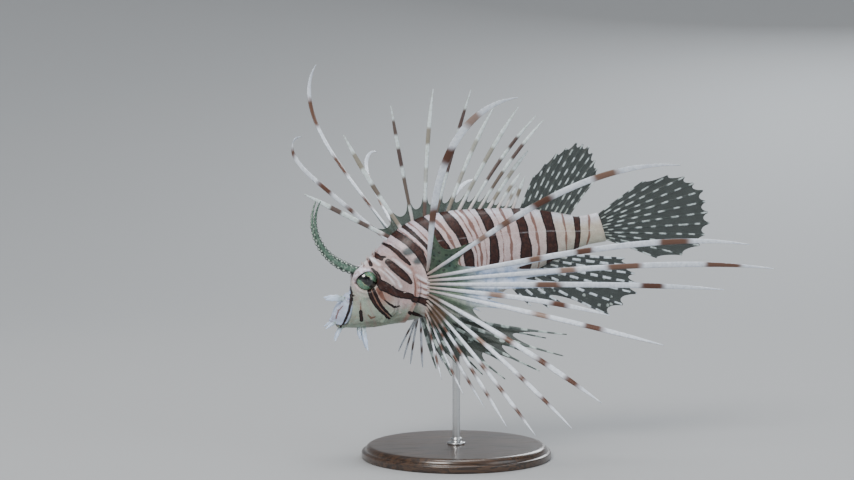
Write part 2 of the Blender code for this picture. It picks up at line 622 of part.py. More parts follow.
def pelvic_fins(fins, parts):
    """A fan of six rays under each side, the right one swung down a little."""
    for side, label, swing in ((1, "left", 0), (-1, "right", RIGHT_PELVIC_SWING)):
        fan = fan_of(PELVIC_FIN)
        fin(f"{label}_pelvic_fin", fan | dict(
            rise=tuple(angles + swing for angles in fan["rise"]), side=side, rows=8,
            root=belly_root(PELVIC_FROM, PELVIC_TO, side * PELVIC_OFFSET), web=[0.75] * 5, notch=0.2, foot=1.8,
            web_thick=WEB_THICK, wide=tapered(0.9, 1.5, 0.6), thick=tapered(1.5, 1.1, 0.55)), fins, parts)


def pectoral_fins(fins, parts):
    """Fourteen long rays a side, webbed only near the body."""
    root_line = (PECTORAL_TOP[0], PECTORAL_LOW[0], PECTORAL_TOP[1], PECTORAL_LOW[1])
    pair = (("left", 1, LEFT_PECTORAL, LEFT_PECTORAL_WEBS, 0.6, 1.1),
            ("right", -1, RIGHT_PECTORAL, RIGHT_PECTORAL_WEBS, 1, 0.95))
    for label, side, table, webs, spread, crowd in pair:
        fan = fan_of(table)
        fin(f"{label}_pectoral_fin", fan | dict(
            power=(fan["power"][0], spread), side=side, rows=11, crowd=crowd, web=webs, notch=0.25,
            root=flank_root(side, *root_line), foot=2.2, web_thick=WEB_THICK,
            wide=bladed(1.2, 2.5, 0.6), thick=tapered(2.2, 1.1, 0.55, 0.2)), fins, parts)


def build():
    for obj in list(bpy.data.objects):
        bpy.data.objects.remove(obj)
    parts = bpy.data.collections.new("red_lionfish")
    tools = bpy.data.collections.new("cutters")
    for made in (parts, tools):
        bpy.context.scene.collection.children.link(made)

    flesh = material("skin", (0.62, 0.42, 0.36))
    fins = material("fin", (0.55, 0.5, 0.5))
    eyes = material("eye", (0.05, 0.06, 0.05), 0.12)
    metal = material("rod_steel", (0.6, 0.6, 0.6), 0.3, 1.0)
    wood = material("base_wood", (0.03, 0.03, 0.03), 0.4)

    head = body(flesh, eyes, parts, tools)
    face(head, flesh, tools)
    tentacles(fins, flesh, parts, tools)
    dorsal_spines(fins, parts)
    soft_dorsal_fin(fins, parts)
    tail_fin(fins, parts)
    anal_fin(fins, parts)
    pelvic_fins(fins, parts)
    pectoral_fins(fins, parts)
    stand(metal, wood, parts)
    for tool in tools.objects:
        tool.hide_render, tool.display_type = True, "WIRE"


build()
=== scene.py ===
# Red lionfish in life size, nose down to the left, on a round display stand.
# Everything on the fish is worked out in its own frame in millimetres:
# s from snout to tail, w to its left side, h up. placed() turns that into the row frame.
import bpy
import numpy as np
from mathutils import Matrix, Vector


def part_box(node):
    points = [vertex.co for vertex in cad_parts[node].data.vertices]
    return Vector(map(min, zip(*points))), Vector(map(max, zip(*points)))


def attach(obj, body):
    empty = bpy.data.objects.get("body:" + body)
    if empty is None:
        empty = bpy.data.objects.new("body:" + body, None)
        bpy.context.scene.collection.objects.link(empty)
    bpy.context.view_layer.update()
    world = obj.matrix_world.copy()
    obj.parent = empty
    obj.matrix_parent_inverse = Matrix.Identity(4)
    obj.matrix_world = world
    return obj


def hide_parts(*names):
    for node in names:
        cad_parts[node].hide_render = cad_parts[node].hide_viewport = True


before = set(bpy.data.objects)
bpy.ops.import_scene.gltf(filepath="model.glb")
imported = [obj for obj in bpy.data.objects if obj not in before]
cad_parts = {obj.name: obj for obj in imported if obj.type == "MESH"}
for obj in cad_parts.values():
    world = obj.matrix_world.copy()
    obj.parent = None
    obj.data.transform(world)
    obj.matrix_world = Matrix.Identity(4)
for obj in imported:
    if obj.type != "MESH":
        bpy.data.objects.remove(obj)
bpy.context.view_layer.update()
mm = 0.001
print("frame loaded:", len(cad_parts), "nodes")

# ---- the fish's frame and body ----

pose = {"pitch": np.radians(18), "snoutX": -58, "snoutZ": 66}

body = {
    "stations": (0, 1.5, 4, 6.5, 9, 12, 13.4, 15, 17, 20, 26, 33, 42, 54, 66, 78, 90, 102, 113, 123, 133),
    "back": (-0.6, 2.4, 5, 6.5, 7.5, 9.6, 12.4, 15, 16.4, 17.4, 21, 24.8, 28.5, 30.2, 28.9, 26, 22.4, 18.2, 12.9,
             8, 6.4),
    "belly": (-3.2, -5.2, -6.4, -7.4, -8.3, -9.3, -9.7, -10.1, -10.6, -11.1, -12, -12.9, -14.2, -16, -16.6, -14.8,
              -11.6, -8.9, -7, -6.4, -7.6),
    "halfWidth": (1.6, 3.3, 4.9, 5.8, 6.4, 7, 7.3, 7.6, 8.1, 8.7, 9.8, 11, 11.9, 11.7, 10.4, 8.8, 7.2, 5.8, 4.5,
                  3.4, 2.4),
    "widestAt": (-1.8, -0.8, -0.2, 0.2, 0.6, 1, 1.2, 1.6, 2.2, 3, 4, 5, 5, 4.6, 4.6, 4.4, 4.2, 3.8, 2.4, 0.8, -0.6),
    "gillBack": 43, "gillTop": 34, "gillBelow": 31,
    "length": 133,
}

eye = {"at": (20.1, 5.7, 11.5), "radius": 4.8, "depth": 3.3}


# A smooth curve through values: a cubic between each two keys, with shared slopes.
def eased(x, keys, values):
    keys, values = np.asarray(keys, float), np.asarray(values, float)
    slope = np.gradient(values, keys)
    x = np.clip(x, keys[0], keys[-1])
    i = np.clip(np.searchsorted(keys, x) - 1, 0, len(keys) - 2)
    span = keys[i + 1] - keys[i]
    t = (x - keys[i]) / span
    return (values[i] * (2 * t**3 - 3 * t**2 + 1) + values[i + 1] * (3 * t**2 - 2 * t**3)
            + span * (slope[i] * (t**3 - 2 * t**2 + t) + slope[i + 1] * (t**3 - t**2)))


# 0 below low, 1 above high, an S curve between.
def smooth(x, low, high):
    t = np.clip((x - low) / (high - low), 0, 1)
    return t * t * (3 - 2 * t)


# A bell round zero.
def bell(x, width):
    return np.exp(-((x / width) ** 2))


# The fish's frame pitched nose down and set over the stand, in metres.
def placed(points):
    s, w, h = np.moveaxis(np.asarray(points, float), -1, 0)
    x = pose["snoutX"] + s * np.cos(pose["pitch"]) - h * np.sin(pose["pitch"])
    z = pose["snoutZ"] + s * np.sin(pose["pitch"]) + h * np.cos(pose["pitch"])
    return np.stack([x, -w, z], -1) * mm


# Back, belly, half width and widest height at a station.
def sectionAt(s):
    return [eased(s, body["stations"], body[key]) for key in ("back", "belly", "halfWidth", "widestAt")]


# The station of the gill cover's rear edge at a height: furthest back at h = 6.
def gillEdge(h):
    up, down = np.clip((h - 6) / 20, 0, 1), np.clip((6 - h) / 19, 0, 1)
    return body["gillBack"] - (body["gillBack"] - body["gillTop"]) * up**1.6 \
        - (body["gillBack"] - body["gillBelow"]) * down**1.8


# Half width of the body at a station and height.
def sideAt(s, h, raised=0.0):
    back, belly, wide, mid = sectionAt(s)
    t = np.clip((h - mid) / np.where(h > mid, back - mid, mid - belly), -0.98, 0.98)
    return wide * np.sqrt(1 - t**2) ** 0.95 + raised


# Height of the back, and of the belly, at a station and an offset from the middle.
def topAt(s, w, raised=0.0):
    back, _, wide, mid = sectionAt(s)
    return mid + (back - mid) * np.sqrt(np.clip(1 - (np.abs(w) / wide) ** 2, 0, 1)) + raised


def bellyAt(s, w, lowered=0.0):
    _, belly, wide, mid = sectionAt(s)
    return mid - (mid - belly) * np.sqrt(np.clip(1 - (np.abs(w) / wide) ** 2, 0, 1)) - lowered


# Distance in side view to a line through points, the side it is on (left of the line is positive),
# how far along the nearest place is from 0 to 1, and the line's half width there.
def nearLine(s, h, points, halfWidths=0.0):
    points = np.asarray(points, float)
    halfWidths = np.broadcast_to(np.asarray(halfWidths, float), len(points))
    lengths = np.concatenate([[0], np.cumsum(np.linalg.norm(np.diff(points, axis=0), axis=1))])
    best, side, share, half = (np.full(np.shape(s), value) for value in (1e9, 1.0, 0.0, 0.0))
    for k in range(len(points) - 1):
        a, d = points[k], points[k + 1] - points[k]
        size = d @ d
        t = np.clip(((s - a[0]) * d[0] + (h - a[1]) * d[1]) / size, 0, 1)
        far = np.hypot(s - a[0] - t * d[0], h - a[1] - t * d[1])
        closer = far < best
        turn = d[0] * (h - a[1]) - d[1] * (s - a[0])
        best = np.where(closer, far, best)
        side = np.where(closer, np.where(turn >= 0, 1.0, -1.0), side)
        share = np.where(closer, (lengths[k] + t * np.sqrt(size)) / lengths[-1], share)
        half = np.where(closer, halfWidths[k] + (halfWidths[k + 1] - halfWidths[k]) * t, half)
    return best, side, share, half


# ---- making meshes and materials ----

def addPiece(name, points, faces, material, uv=None, floats=None, colours=None):
    # faces is a list of index arrays, one for quads and one for triangles; points are in metres
    faces = [np.asarray(f, np.int64) for f in faces if len(f)]
    volume = 0.0
    for f in faces:
        for k in range(1, f.shape[1] - 1):
            a, b, c = points[f[:, 0]], points[f[:, k]], points[f[:, k + 1]]
            volume += np.einsum("ij,ij->i", a, np.cross(b, c)).sum()
    turned = volume < 0
    if turned:
        faces = [f[:, ::-1] for f in faces]
    mesh = bpy.data.meshes.new(name)
    mesh.vertices.add(len(points))
    mesh.vertices.foreach_set("co", np.ascontiguousarray(points, np.float32).ravel())
    corners = np.concatenate([f.ravel() for f in faces])
    sides = np.concatenate([np.full(len(f), f.shape[1]) for f in faces])
    mesh.loops.add(len(corners))
    mesh.loops.foreach_set("vertex_index", corners.astype(np.int32))
    mesh.polygons.add(len(sides))
    mesh.polygons.foreach_set("loop_start", (np.cumsum(sides) - sides).astype(np.int32))
    mesh.update(calc_edges=True)
    mesh.polygons.foreach_set("use_smooth", np.ones(len(sides), bool))
    if uv is not None:  # one array of corner places for each array of faces
        layer = mesh.uv_layers.new(name="OFBake")
        flat = np.concatenate([(u[:, ::-1] if turned else u).reshape(-1, 2) for u in uv if len(u)])
        layer.uv.foreach_set("vector", flat.astype(np.float32).ravel())
    for key, values in (floats or {}).items():
        mesh.attributes.new(key, "FLOAT", "POINT").data.foreach_set("value", np.asarray(values, np.float32).ravel())
    for key, values in (colours or {}).items():
        mesh.attributes.new(key, "FLOAT_COLOR", "POINT").data.foreach_set(
            "color", np.asarray(values, np.float32).ravel())
    mesh.validate()
    mesh.materials.append(material)
    piece = bpy.data.objects.new(name, mesh)
    bpy.context.scene.collection.objects.link(piece)
    return piece


# Quads between rings of the same count, going round, with the place of each corner on a map.
def ringFaces(rings, around, start=0, box=(0, 0, 1, 1)):
    r, a = (k.ravel() for k in np.meshgrid(np.arange(rings - 1), np.arange(around), indexing="ij"))
    b = (a + 1) % around
    quads = start + np.stack([r * around + a, r * around + b, (r + 1) * around + b, (r + 1) * around + a], -1)
    u = np.stack([a, a + 1, a + 1, a], -1) / around
    v = np.stack([r, r, r + 1, r + 1], -1) / (rings - 1)
    return quads, np.stack([box[0] + (box[2] - box[0]) * u, box[1] + (box[3] - box[1]) * v], -1)


# Triangles from a ring to its pole.
def poleFaces(first, around, pole, mapped=(0.0, 0.0)):
    a = np.arange(around)
    b = (a + 1) % around
    return np.stack([first + a, first + b, np.full(around, pole)], -1), np.tile(mapped, (around, 3, 1))


# Rings of points closed at both ends, as one piece.
def closedTube(rings, name, material, floats=None, colours=None, ends=None):
    rows, around = rings.shape[:2]
    ends = [rings[0].mean(0), rings[-1].mean(0)] if ends is None else ends
    points = np.concatenate([rings.reshape(-1, 3), ends])
    quads, quadUv = ringFaces(rows, around)
    first, firstUv = poleFaces(0, around, rows * around, (0.5, 0.0))
    last, lastUv = poleFaces((rows - 1) * around, around, rows * around + 1, (0.5, 1.0))

    def spread(values):
        values = np.asarray(values, float)
        flat = values.reshape(rows * around, -1)
        return np.concatenate([flat, flat[:around].mean(0)[None], flat[-around:].mean(0)[None]])

    return addPiece(name, placed(points), [quads, np.concatenate([first, last])], material,
                    uv=[quadUv, np.concatenate([firstUv, lastUv])],
                    floats={k: spread(v) for k, v in (floats or {}).items()},
                    colours={k: spread(v) for k, v in (colours or {}).items()})


# A node's output in a material. Reckoning with it adds math nodes.
class Signal:
    def __init__(self, look, socket):
        self.look, self.socket = look, socket

    def math(self, operation, *others):
        return self.look.add("ShaderNodeMath", dict(enumerate((self, *others))), operation=operation)

    def __add__(self, other):
        return self.math("ADD", other)

    def __sub__(self, other):
        return self.math("SUBTRACT", other)

    def __rsub__(self, other):
        return self.look.add("ShaderNodeMath", {0: other, 1: self}, operation="SUBTRACT")

    def __mul__(self, other):
        return self.math("MULTIPLY", other)

    # an S curve from outLow at low to outHigh at high
    def ramp(self, low, high, outLow=0.0, outHigh=1.0):
        inputs = {"Value": self, "From Min": low, "From Max": high, "To Min": outLow, "To Max": outHigh}
        return self.look.add("ShaderNodeMapRange", inputs, "Result", interpolation_type="SMOOTHSTEP")


# A material under way. Its shader's inputs are named with _ for a space.
class Look:
    def __init__(self, name, roughness=0.5, **inputs):
        self.material = bpy.data.materials.new(name)
        self.material.use_nodes = True
        self.tree = self.material.node_tree
        self.set(Roughness=roughness, **inputs)

    # an input is a value or a Signal; a colour of three numbers is opaque
    def put(self, socket, value):
        if isinstance(value, Signal):
            self.tree.links.new(value.socket, socket)
        else:
            socket.default_value = (*value, 1) if socket.type == "RGBA" and len(value) == 3 else value

    def set(self, **inputs):
        for key, value in inputs.items():
            self.put(self.tree.nodes["Principled BSDF"].inputs[key.replace("_", " ")], value)

    def add(self, kind, inputs=None, output=0, **settings):
        node = self.tree.nodes.new(kind)
        for key, value in settings.items():
            setattr(node, key, value)
        for key, value in (inputs or {}).items():
            self.put(node.inputs[key], value)
        return Signal(self, node.outputs[output])

    def read(self, name, output="Fac"):
        return self.add("ShaderNodeAttribute", None, output, attribute_name=name)

    # the place on the object, stretched by a factor along each axis
    def place(self, stretch=None):
        place = self.add("ShaderNodeTexCoord", None, "Object")
        return self.add("ShaderNodeMapping", {"Vector": place, "Scale": stretch}) if stretch else place

    def noise(self, scale, detail=4.0, roughness=0.5, vector=None):
        return self.add("ShaderNodeTexNoise", {"Vector": vector or self.place(), "Scale": scale, "Detail": detail,
                                               "Roughness": roughness})

    def cells(self, scale, randomness=1.0, feature="F1"):
        return self.add("ShaderNodeTexVoronoi", {"Vector": self.place(), "Scale": scale, "Randomness": randomness},
                        "Distance", feature=feature)

    def mix(self, share, a, b, blend="MIX"):
        return self.add("ShaderNodeMix", {0: share, 6: a, 7: b}, 2, data_type="RGBA", blend_type=blend)

    # a colour multiplied by a tint over a share of it
    def stain(self, share, colour, tint):
        return self.mix(share, colour, self.mix(1.0, colour, tint, "MULTIPLY"))

    # the finished material: its colour, and a bump of a strength and a depth in metres
    def done(self, colour, height, strength, depth):
        bump = self.add("ShaderNodeBump", {"Height": height, "Strength": strength, "Distance": depth})
        self.set(Base_Color=colour, Normal=bump)
        return self.material


# ---- the skin ----

skinForm = {
    "around": 176, "headRings": 250, "bodyRings": 240, "headCrowd": 1.2, "bodyCrowd": 1.12, "gillStep": 0.12,
    "snoutRings": 7, "snoutDepth": 0.8,
    "rimHeight": 0.8, "rimWidth": 1.1, "socketDepth": 3.4,
    "mouth": ((-0.9, -2.3), (1.2, -3.9), (3.4, -5.2), (5.8, -4.6), (8.2, -2), (10, 1.4), (11.2, 4.6), (11.9, 7.4)),
    "mouthCorner": 0.3, "mouthDepth": 1.5, "slitDepth": 0.5, "lipHeight": 0.45, "plateHeight": 0.5,
    "cheekBone": ((26.4, 10), (29.4, 4), (30.2, -1), (28, -6), (22, -9.3)),
    "brow": ((15.6, 15.6), (18.5, 17), (22, 18), (25, 19.4)),
    "jawFold": ((3.8, -5.6), (9, -6.6), (16, -8.4), (24, -10.2)),
    "nostrils": ((9.6, 5.6), (12.4, 6.6)),
    "finLobe": ((47.5, 7.3), (45.5, 1), (43.3, -5), (41.5, -11)), "lobeHeight": 1.2, "beadStep": 1.7,
}

# Where the lateral line runs: its height at a station.
lateral = {"stations": (44, 57, 65, 75, 85, 100, 107, 120, 132),
           "heights": (20.5, 18.4, 16.8, 14.2, 12.1, 8.2, 6.3, 1.8, -1.4)}


def lateralHeight(s):
    return eased(s, lateral["stations"], lateral["heights"])


# How far the skin stands off the plain body, in mm, as a sum of bells and steps along lines in side view.
def relief(s, w, h, angle):
    form = skinForm
    onSide = smooth(np.abs(w), 1.5, 4)
    fromEye = np.hypot(s - eye["at"][0], h - eye["at"][2])
    out = form["rimHeight"] * bell(fromEye - eye["radius"] - 0.7, form["rimWidth"]) * onSide
    out += 0.25 * bell(fromEye - eye["radius"] - 2.6, 0.6) * onSide * smooth(h, 16, 12)
    # the ridge below the eye, with a row of low bumps
    ridgeHeight = 3.6 + 0.16 * (s - 12)
    ridge = 0.7 * bell(h - ridgeHeight, 1.2) * smooth(s, 12, 15) * (1 - smooth(s, 29, 33))
    out += ridge * (0.85 + 0.15 * np.cos(2.6 * s))
    # gill cover: it lifts towards its rear edge
    edge = gillEdge(h)
    out += np.where(s <= edge + 1e-6, 0.75 * np.clip((s - edge + 7) / 7, 0, 1) ** 2, 0)
    out -= 0.35 * bell(s - edge - 0.5, 0.7) * (s > edge)
    # cheek bone, brow and the fold along the lower jaw
    far, side, _, _ = nearLine(s, h, form["cheekBone"])
    out += 0.55 * bell(far + 0.4 * (side - 1), 0.9) * onSide - 0.3 * bell(far - 1.3, 0.6) * (side > 0) * onSide
    out += 0.5 * bell(nearLine(s, h, form["brow"])[0], 0.9)
    out -= 0.4 * bell(nearLine(s, h, form["jawFold"])[0], 0.35) * onSide
    # upper jaw: a plate that stands proud of the cheek, lips round the mouth, and the mouth itself
    far, side, share, _ = nearLine(s, h, form["mouth"])
    signed = far * side
    corner = form["mouthCorner"]
    front = 1 - smooth(share, corner, corner + 0.12)
    out += form["plateHeight"] * smooth(signed, -0.1, 0.5) * (1 - smooth(signed, 2.5, 5.5)) * (share < 0.999)
    out += form["lipHeight"] * (bell(signed - 0.95, 0.5) + 0.9 * bell(signed + 0.9, 0.5)) * front
    cut = form["slitDepth"] + (form["mouthDepth"] - form["slitDepth"]) * front
    out -= cut * bell(signed - 0.05, 0.3 + 0.12 * front) * (1 - smooth(share, 0.9, 1))
    for at in form["nostrils"]:
        far = np.hypot(s - at[0], h - at[1])
        out += (0.3 * bell(far - 0.75, 0.28) - 0.9 * bell(far, 0.42)) * onSide
    # throat: folds of the gill membrane, and the edge of the throat patch
    under = smooth(-np.sin(angle), 0.62, 0.9)
    out += 0.16 * under * np.sin(angle * 30) * smooth(s, 12, 17) * (1 - smooth(s, 29, 34))
    # lateral line: a shallow furrow with a row of beads
    drop = h - lateralHeight(s)
    beads = 0.17 * bell(drop, 0.4) * (0.6 + 0.4 * np.cos(2 * np.pi * s / form["beadStep"]))
    out += (beads - 0.12 * bell(drop, 1.1)) * smooth(s, 45, 48)
    # the fleshy lobe that carries the pectoral fin, and the sheath along the dorsal spines
    out += form["lobeHeight"] * bell(nearLine(s, h, form["finLobe"])[0], 2.3) * onSide
    sheath = smooth(s, 35, 39) * (1 - smooth(s, 119, 123))
    out += 0.5 * sheath * bell(w, 1.1) * (h > 0)
    # fine unevenness of flesh over bone on the head
    out += 0.06 * np.sin(1.7 * s + 0.9 * h) * np.sin(1.3 * h - 0.6 * s) * (s < 40)
    # eye socket
    out = np.where(np.abs(w) > 2.5, out - (form["socketDepth"] + out) * (1 - smooth(fromEye, 3.7, 4.85)), out)
    return out


# The gill cover's edge at each angle round the body, by steps towards where edge and height agree.
def gillStation(angle):
    s = np.full_like(angle, body["gillBack"])
    for _ in range(12):
        s = 0.5 * s + 0.5 * gillEdge(plainSkin(s, angle)[..., 2])
    return s


# The plain body: a section of two half ellipses at each station.
def plainSkin(s, angle):
    back, belly, wide, mid = sectionAt(s)
    c, d = np.cos(angle), np.sin(angle)
    h = mid + np.where(d > 0, back - mid, mid - belly) * d
    return np.stack([s + 0 * h, wide * np.sign(c) * np.abs(c) ** 0.95, h], -1)


# Bars are arcs: the bar coordinate b is the station where the arc through a point is furthest back,
# b = s + bend (h - apex)^2, with bend and apex changing along the body.
barArc = {"keys": (34, 48, 62, 82, 102, 117, 128), "bend": (0.02, 0.018, 0.012, 0.014, 0.007, 0.006, 0.008),
          "apex": (4, 5, 9, 17, 16, 20, 24)}


def barCoordinate(s, h):
    b = s
    for _ in range(6):
        bend, apex = (np.interp(b, barArc["keys"], barArc[key]) for key in ("bend", "apex"))
        b = s + bend * (h - apex) ** 2
    return b


# Bars behind the gill cover, by bar coordinate and half width: dark ones and the thin lines between them.
bars = {
    "dark": ((47.9, 1.3), (52.6, 0.9), (58.9, 2), (67.9, 2.15), (81.6, 2.1), (96.6, 2.15), (109.4, 2.35),
             (124.2, 1.6)),
    "thin": ((50.4, 0.24), (54.9, 0.26), (63, 0.65), (72.1, 0.32), (74.4, 0.65), (77.3, 0.26), (86.2, 0.24),
             (89.9, 0.6), (102.4, 0.62), (117, 0.5), (130.9, 0.5)),
}

# Head stripes in side view: points (s, h), half widths, and the kind of mark.
headStripes = {
    "behindJaw": (((12.6, 10.4), (11.6, 7), (9.9, 3.6), (8, 0.6), (5.2, -2.8), (2.6, -5.3)),
                  (0.35, 0.6, 0.62, 0.6, 0.5, 0.4), "dark"),
    "jawCurl": (((6.3, 3.6), (3.7, 2.3), (2.2, -0.1), (1.8, -1)), (0.15, 0.32, 0.35, 0.2), "thin"),
    "browMark": (((15.2, 15.4), (17.2, 15), (18.4, 14.4)), (0.9, 1.1, 0.8), "dark"),
    "behindEye": (((24.4, 15.6), (25.5, 13), (25.6, 10)), (0.5, 0.8, 1.1), "dark"),
    "napeMark": (((24.6, 20.6), (24.3, 17.4)), (0.7, 0.8), "dark"),
    "napeBlotch": (((27.2, 22.6), (28.2, 20.4), (29.6, 18.6)), (0.8, 1.25, 0.8), "dark"),
    "napeBranch": (((29, 19.4), (31.4, 19.1)), (0.9, 0.5), "dark"),
    "napeLine": (((32.6, 24.8), (35.3, 22.3), (37.1, 19.8), (38.4, 16.9), (39.6, 14.8), (40.8, 12.6)),
                 (0.5, 0.9, 1.15, 1.1, 1, 0.6), "dark"),
    "shoulder": (((40, 28.2), (40.8, 26.8), (42.8, 23.6), (44.8, 20.3), (46.9, 16.5), (47.6, 13)),
                 (0.9, 1.2, 1.5, 1.6, 1.6, 1.1), "dark"),
    "oval": (((31.9, 16.6), (33.4, 13.8), (35.3, 10.7), (37.2, 7.3), (38.5, 4.6)),
             (1.5, 1.85, 1.9, 1.7, 0.9), "dark"),
    "templeLine": (((29.6, 12.6), (31.7, 9.2), (33.6, 6.2)), (0.2, 0.4, 0.2), "thin"),
    "eyeCorner": (((24.6, 9.8), (26.3, 7), (28.6, 4.7)), (1.5, 2.4, 2.1), "dark"),
    "cheekBand": (((28, 5), (30, 2.9), (32.4, 0.9), (36.7, -1.4)), (2, 1.9, 1.8, 1.5), "dark"),
    "finBand": (((37.6, -3.1), (40.7, -4.6), (44, -6.8), (46.1, -9.6), (47.6, -13.4)),
                (1.4, 1.6, 1.8, 2.1, 2.1), "dark"),
    "doubleFront": (((19.6, 7.4), (19.6, 3.2), (20.4, -0.6), (21.8, -3.9), (24, -7.5), (24.9, -8.8)),
                    (0.9, 0.95, 0.8, 0.65, 0.55, 0.35), "dark"),
    "doubleBack": (((21.7, 6.7), (22, 2.3), (22.6, -1), (23.9, -4.3), (26, -7.9)),
                   (0.75, 0.7, 0.65, 0.6, 0.35), "dark"),
    "doubleFill": (((20.7, 6), (20.8, 2.4), (21.4, -1), (22.8, -4.4), (24.6, -7.8)),
                   (1.2, 1.1, 1, 0.9, 0.6), "thin"),
    "templeShade": (((23.9, 6.2), (24.3, 2.4), (25.1, 0.4)), (1.2, 0.9, 0.4), "thin"),
    "shortLine": (((24.9, 0.6), (26.5, -1.9), (28.2, -3.7), (30.6, -4.3)), (0.35, 0.52, 0.55, 0.35), "dark"),
    "cheekMark": (((13, -1.1), (12.3, -5)), (0.75, 0.9), "dark"),
    "cheekFaint": (((14.4, 3.4), (13.2, -0.6)), (0.1, 0.35), "thin"),
    "curl": (((15.9, -3.8), (16.7, -5.6), (18.5, -5.5)), (0.3, 0.5, 0.3), "thin"),
    "throat": (((34.1, -8.4), (36.9, -10.6), (39.7, -12.8)), (0.8, 0.9, 0.6), "dark"),
    "finRoot1": (((41.6, 5.4), (44, 2.8), (47.2, 0.4)), (0.2, 0.55, 0.5), "thin"),
    "finRoot2": (((41, 1.9), (43.8, -0.3), (47, -2.2)), (0.2, 0.5, 0.4), "thin"),
    "finRoot3": (((40.2, -1), (43.5, -2.8), (47, -4.7)), (0.2, 0.4, 0.4), "thin"),
    "gillLine": (((40.6, 7.4), (40.1, 3), (38.8, -1), (37.4, -5.4)), (0.2, 0.4, 0.4, 0.2), "thin"),
    # whitish lines: the temple ridge, the edge of the oval, the fin's root, the brow and the nape
    "temple": (((29.6, 14.4), (31.5, 10.6), (33.2, 7.2), (33.6, 4.4)), (0, 0.35, 0.2, 0.5), "pale"),
    "templeUpper": (((27, 15), (29, 12), (30.6, 8.8), (31.6, 5.8)), (-0.2, 0.1, 0.2, 0), "pale"),
    "ovalEdge": (((34.4, 17.4), (36.9, 13.6), (39.8, 9.2)), (0.1, 0.5, 0.4), "pale"),
    "finRay1": (((41.9, 7.3), (44, 4.6), (47, 2)), (0.2, 0.5, 0.6), "pale"),
    "finRay2": (((41.4, 3.6), (43.8, 1.2), (47.2, -0.9)), (0, 0.3, 0.5), "pale"),
    "finRay3": (((40.6, 0.4), (43.6, -1.6), (47.2, -3.5)), (0, 0.3, 0.5), "pale"),
    "brow": (((16.2, 16.6), (19, 17.8), (22.8, 19)), (0.8, 0.9, 0.6), "pale"),
    "napeEdge": (((28.6, 24), (31, 25.2), (33.4, 26.2)), (0.7, 0.9, 0.6), "pale"),
    "napeSlope": (((24.8, 21.2), (26.4, 18.8), (27.6, 16.6)), (0.4, 0.55, 0.3), "pale"),
}

skinColours = {
    "cream": (0.67, 0.56, 0.57), "jaw": (0.52, 0.62, 0.82), "green": (0.34, 0.43, 0.35), "pink": (0.42, 0.25, 0.22),
    "rear": (0.62, 0.6, 0.47), "white": (0.86, 0.88, 0.95), "nape": (0.58, 0.52, 0.6), "taupe": (0.4, 0.3, 0.29),
    # edge is the colour of a painted highlight along the top of the back, and the dark teal is painted shade over
    # the fin's root
    "edge": (0.7, 0.76, 0.9), "paintedShadeTeal": (0.02, 0.075, 0.085), "outline": (0.006, 0.002, 0.003),
    "maroon": (0.024, 0.007, 0.006), "brown": (0.058, 0.019, 0.013), "line": (0.16, 0.062, 0.04),
    "mouth": (0.06, 0.012, 0.012),
}


# A depth in mm that is outside every mark.
outside = -9.0


# Signed depth inside the markings in mm (positive inside), dark ones and thin ones, and inside the pale lines.
def markings(s, w, h):
    # the right side is the left one with its stripes shifted a little
    far = np.where(w < 0, 1.0, 0.0) * smooth(np.abs(w), 0.5, 4)
    s = s + far * 0.45 * np.sin(0.37 * h + 1.1)
    h = h + far * 0.5 * np.sin(0.21 * s + 0.4)
    b = barCoordinate(s, h) + 0.12 * np.sin(0.7 * h + 0.35 * s)
    behind = np.where(s > gillEdge(h) - 1.0, 0.0, outside)
    depth = {kind: np.full(np.shape(s), outside) for kind in ("dark", "thin", "pale")}

    def deepen(kind, inside):
        depth[kind] = np.maximum(depth[kind], inside)

    narrow = 1 - 0.35 * smooth(h, -6, -15) - 0.12 * smooth(h, 20, 30)
    for at, half in bars["dark"]:
        own = half * narrow * (1 + 0.1 * np.sin(0.4 * h + at) + 0.22 * smooth(h, 14, 0))
        deepen("dark", own - np.abs(b - at) + behind)
    for at, half in bars["thin"]:
        own = half * (1 - 0.8 * smooth(h, -3, -13)) * (1 + 0.3 * np.sin(0.8 * h + 2 * at))
        deepen("thin", own - np.abs(b - at) + behind)
    for points, halfWidths, kind in headStripes.values():
        near, _, _, half = nearLine(s, h, points, halfWidths)
        deepen(kind, half - near)
    deepen("pale", -0.3 - np.abs(h - lateralHeight(s)) + np.where((s > 50) & (s < 128), 0, outside))
    return depth["dark"], depth["thin"], depth["pale"]
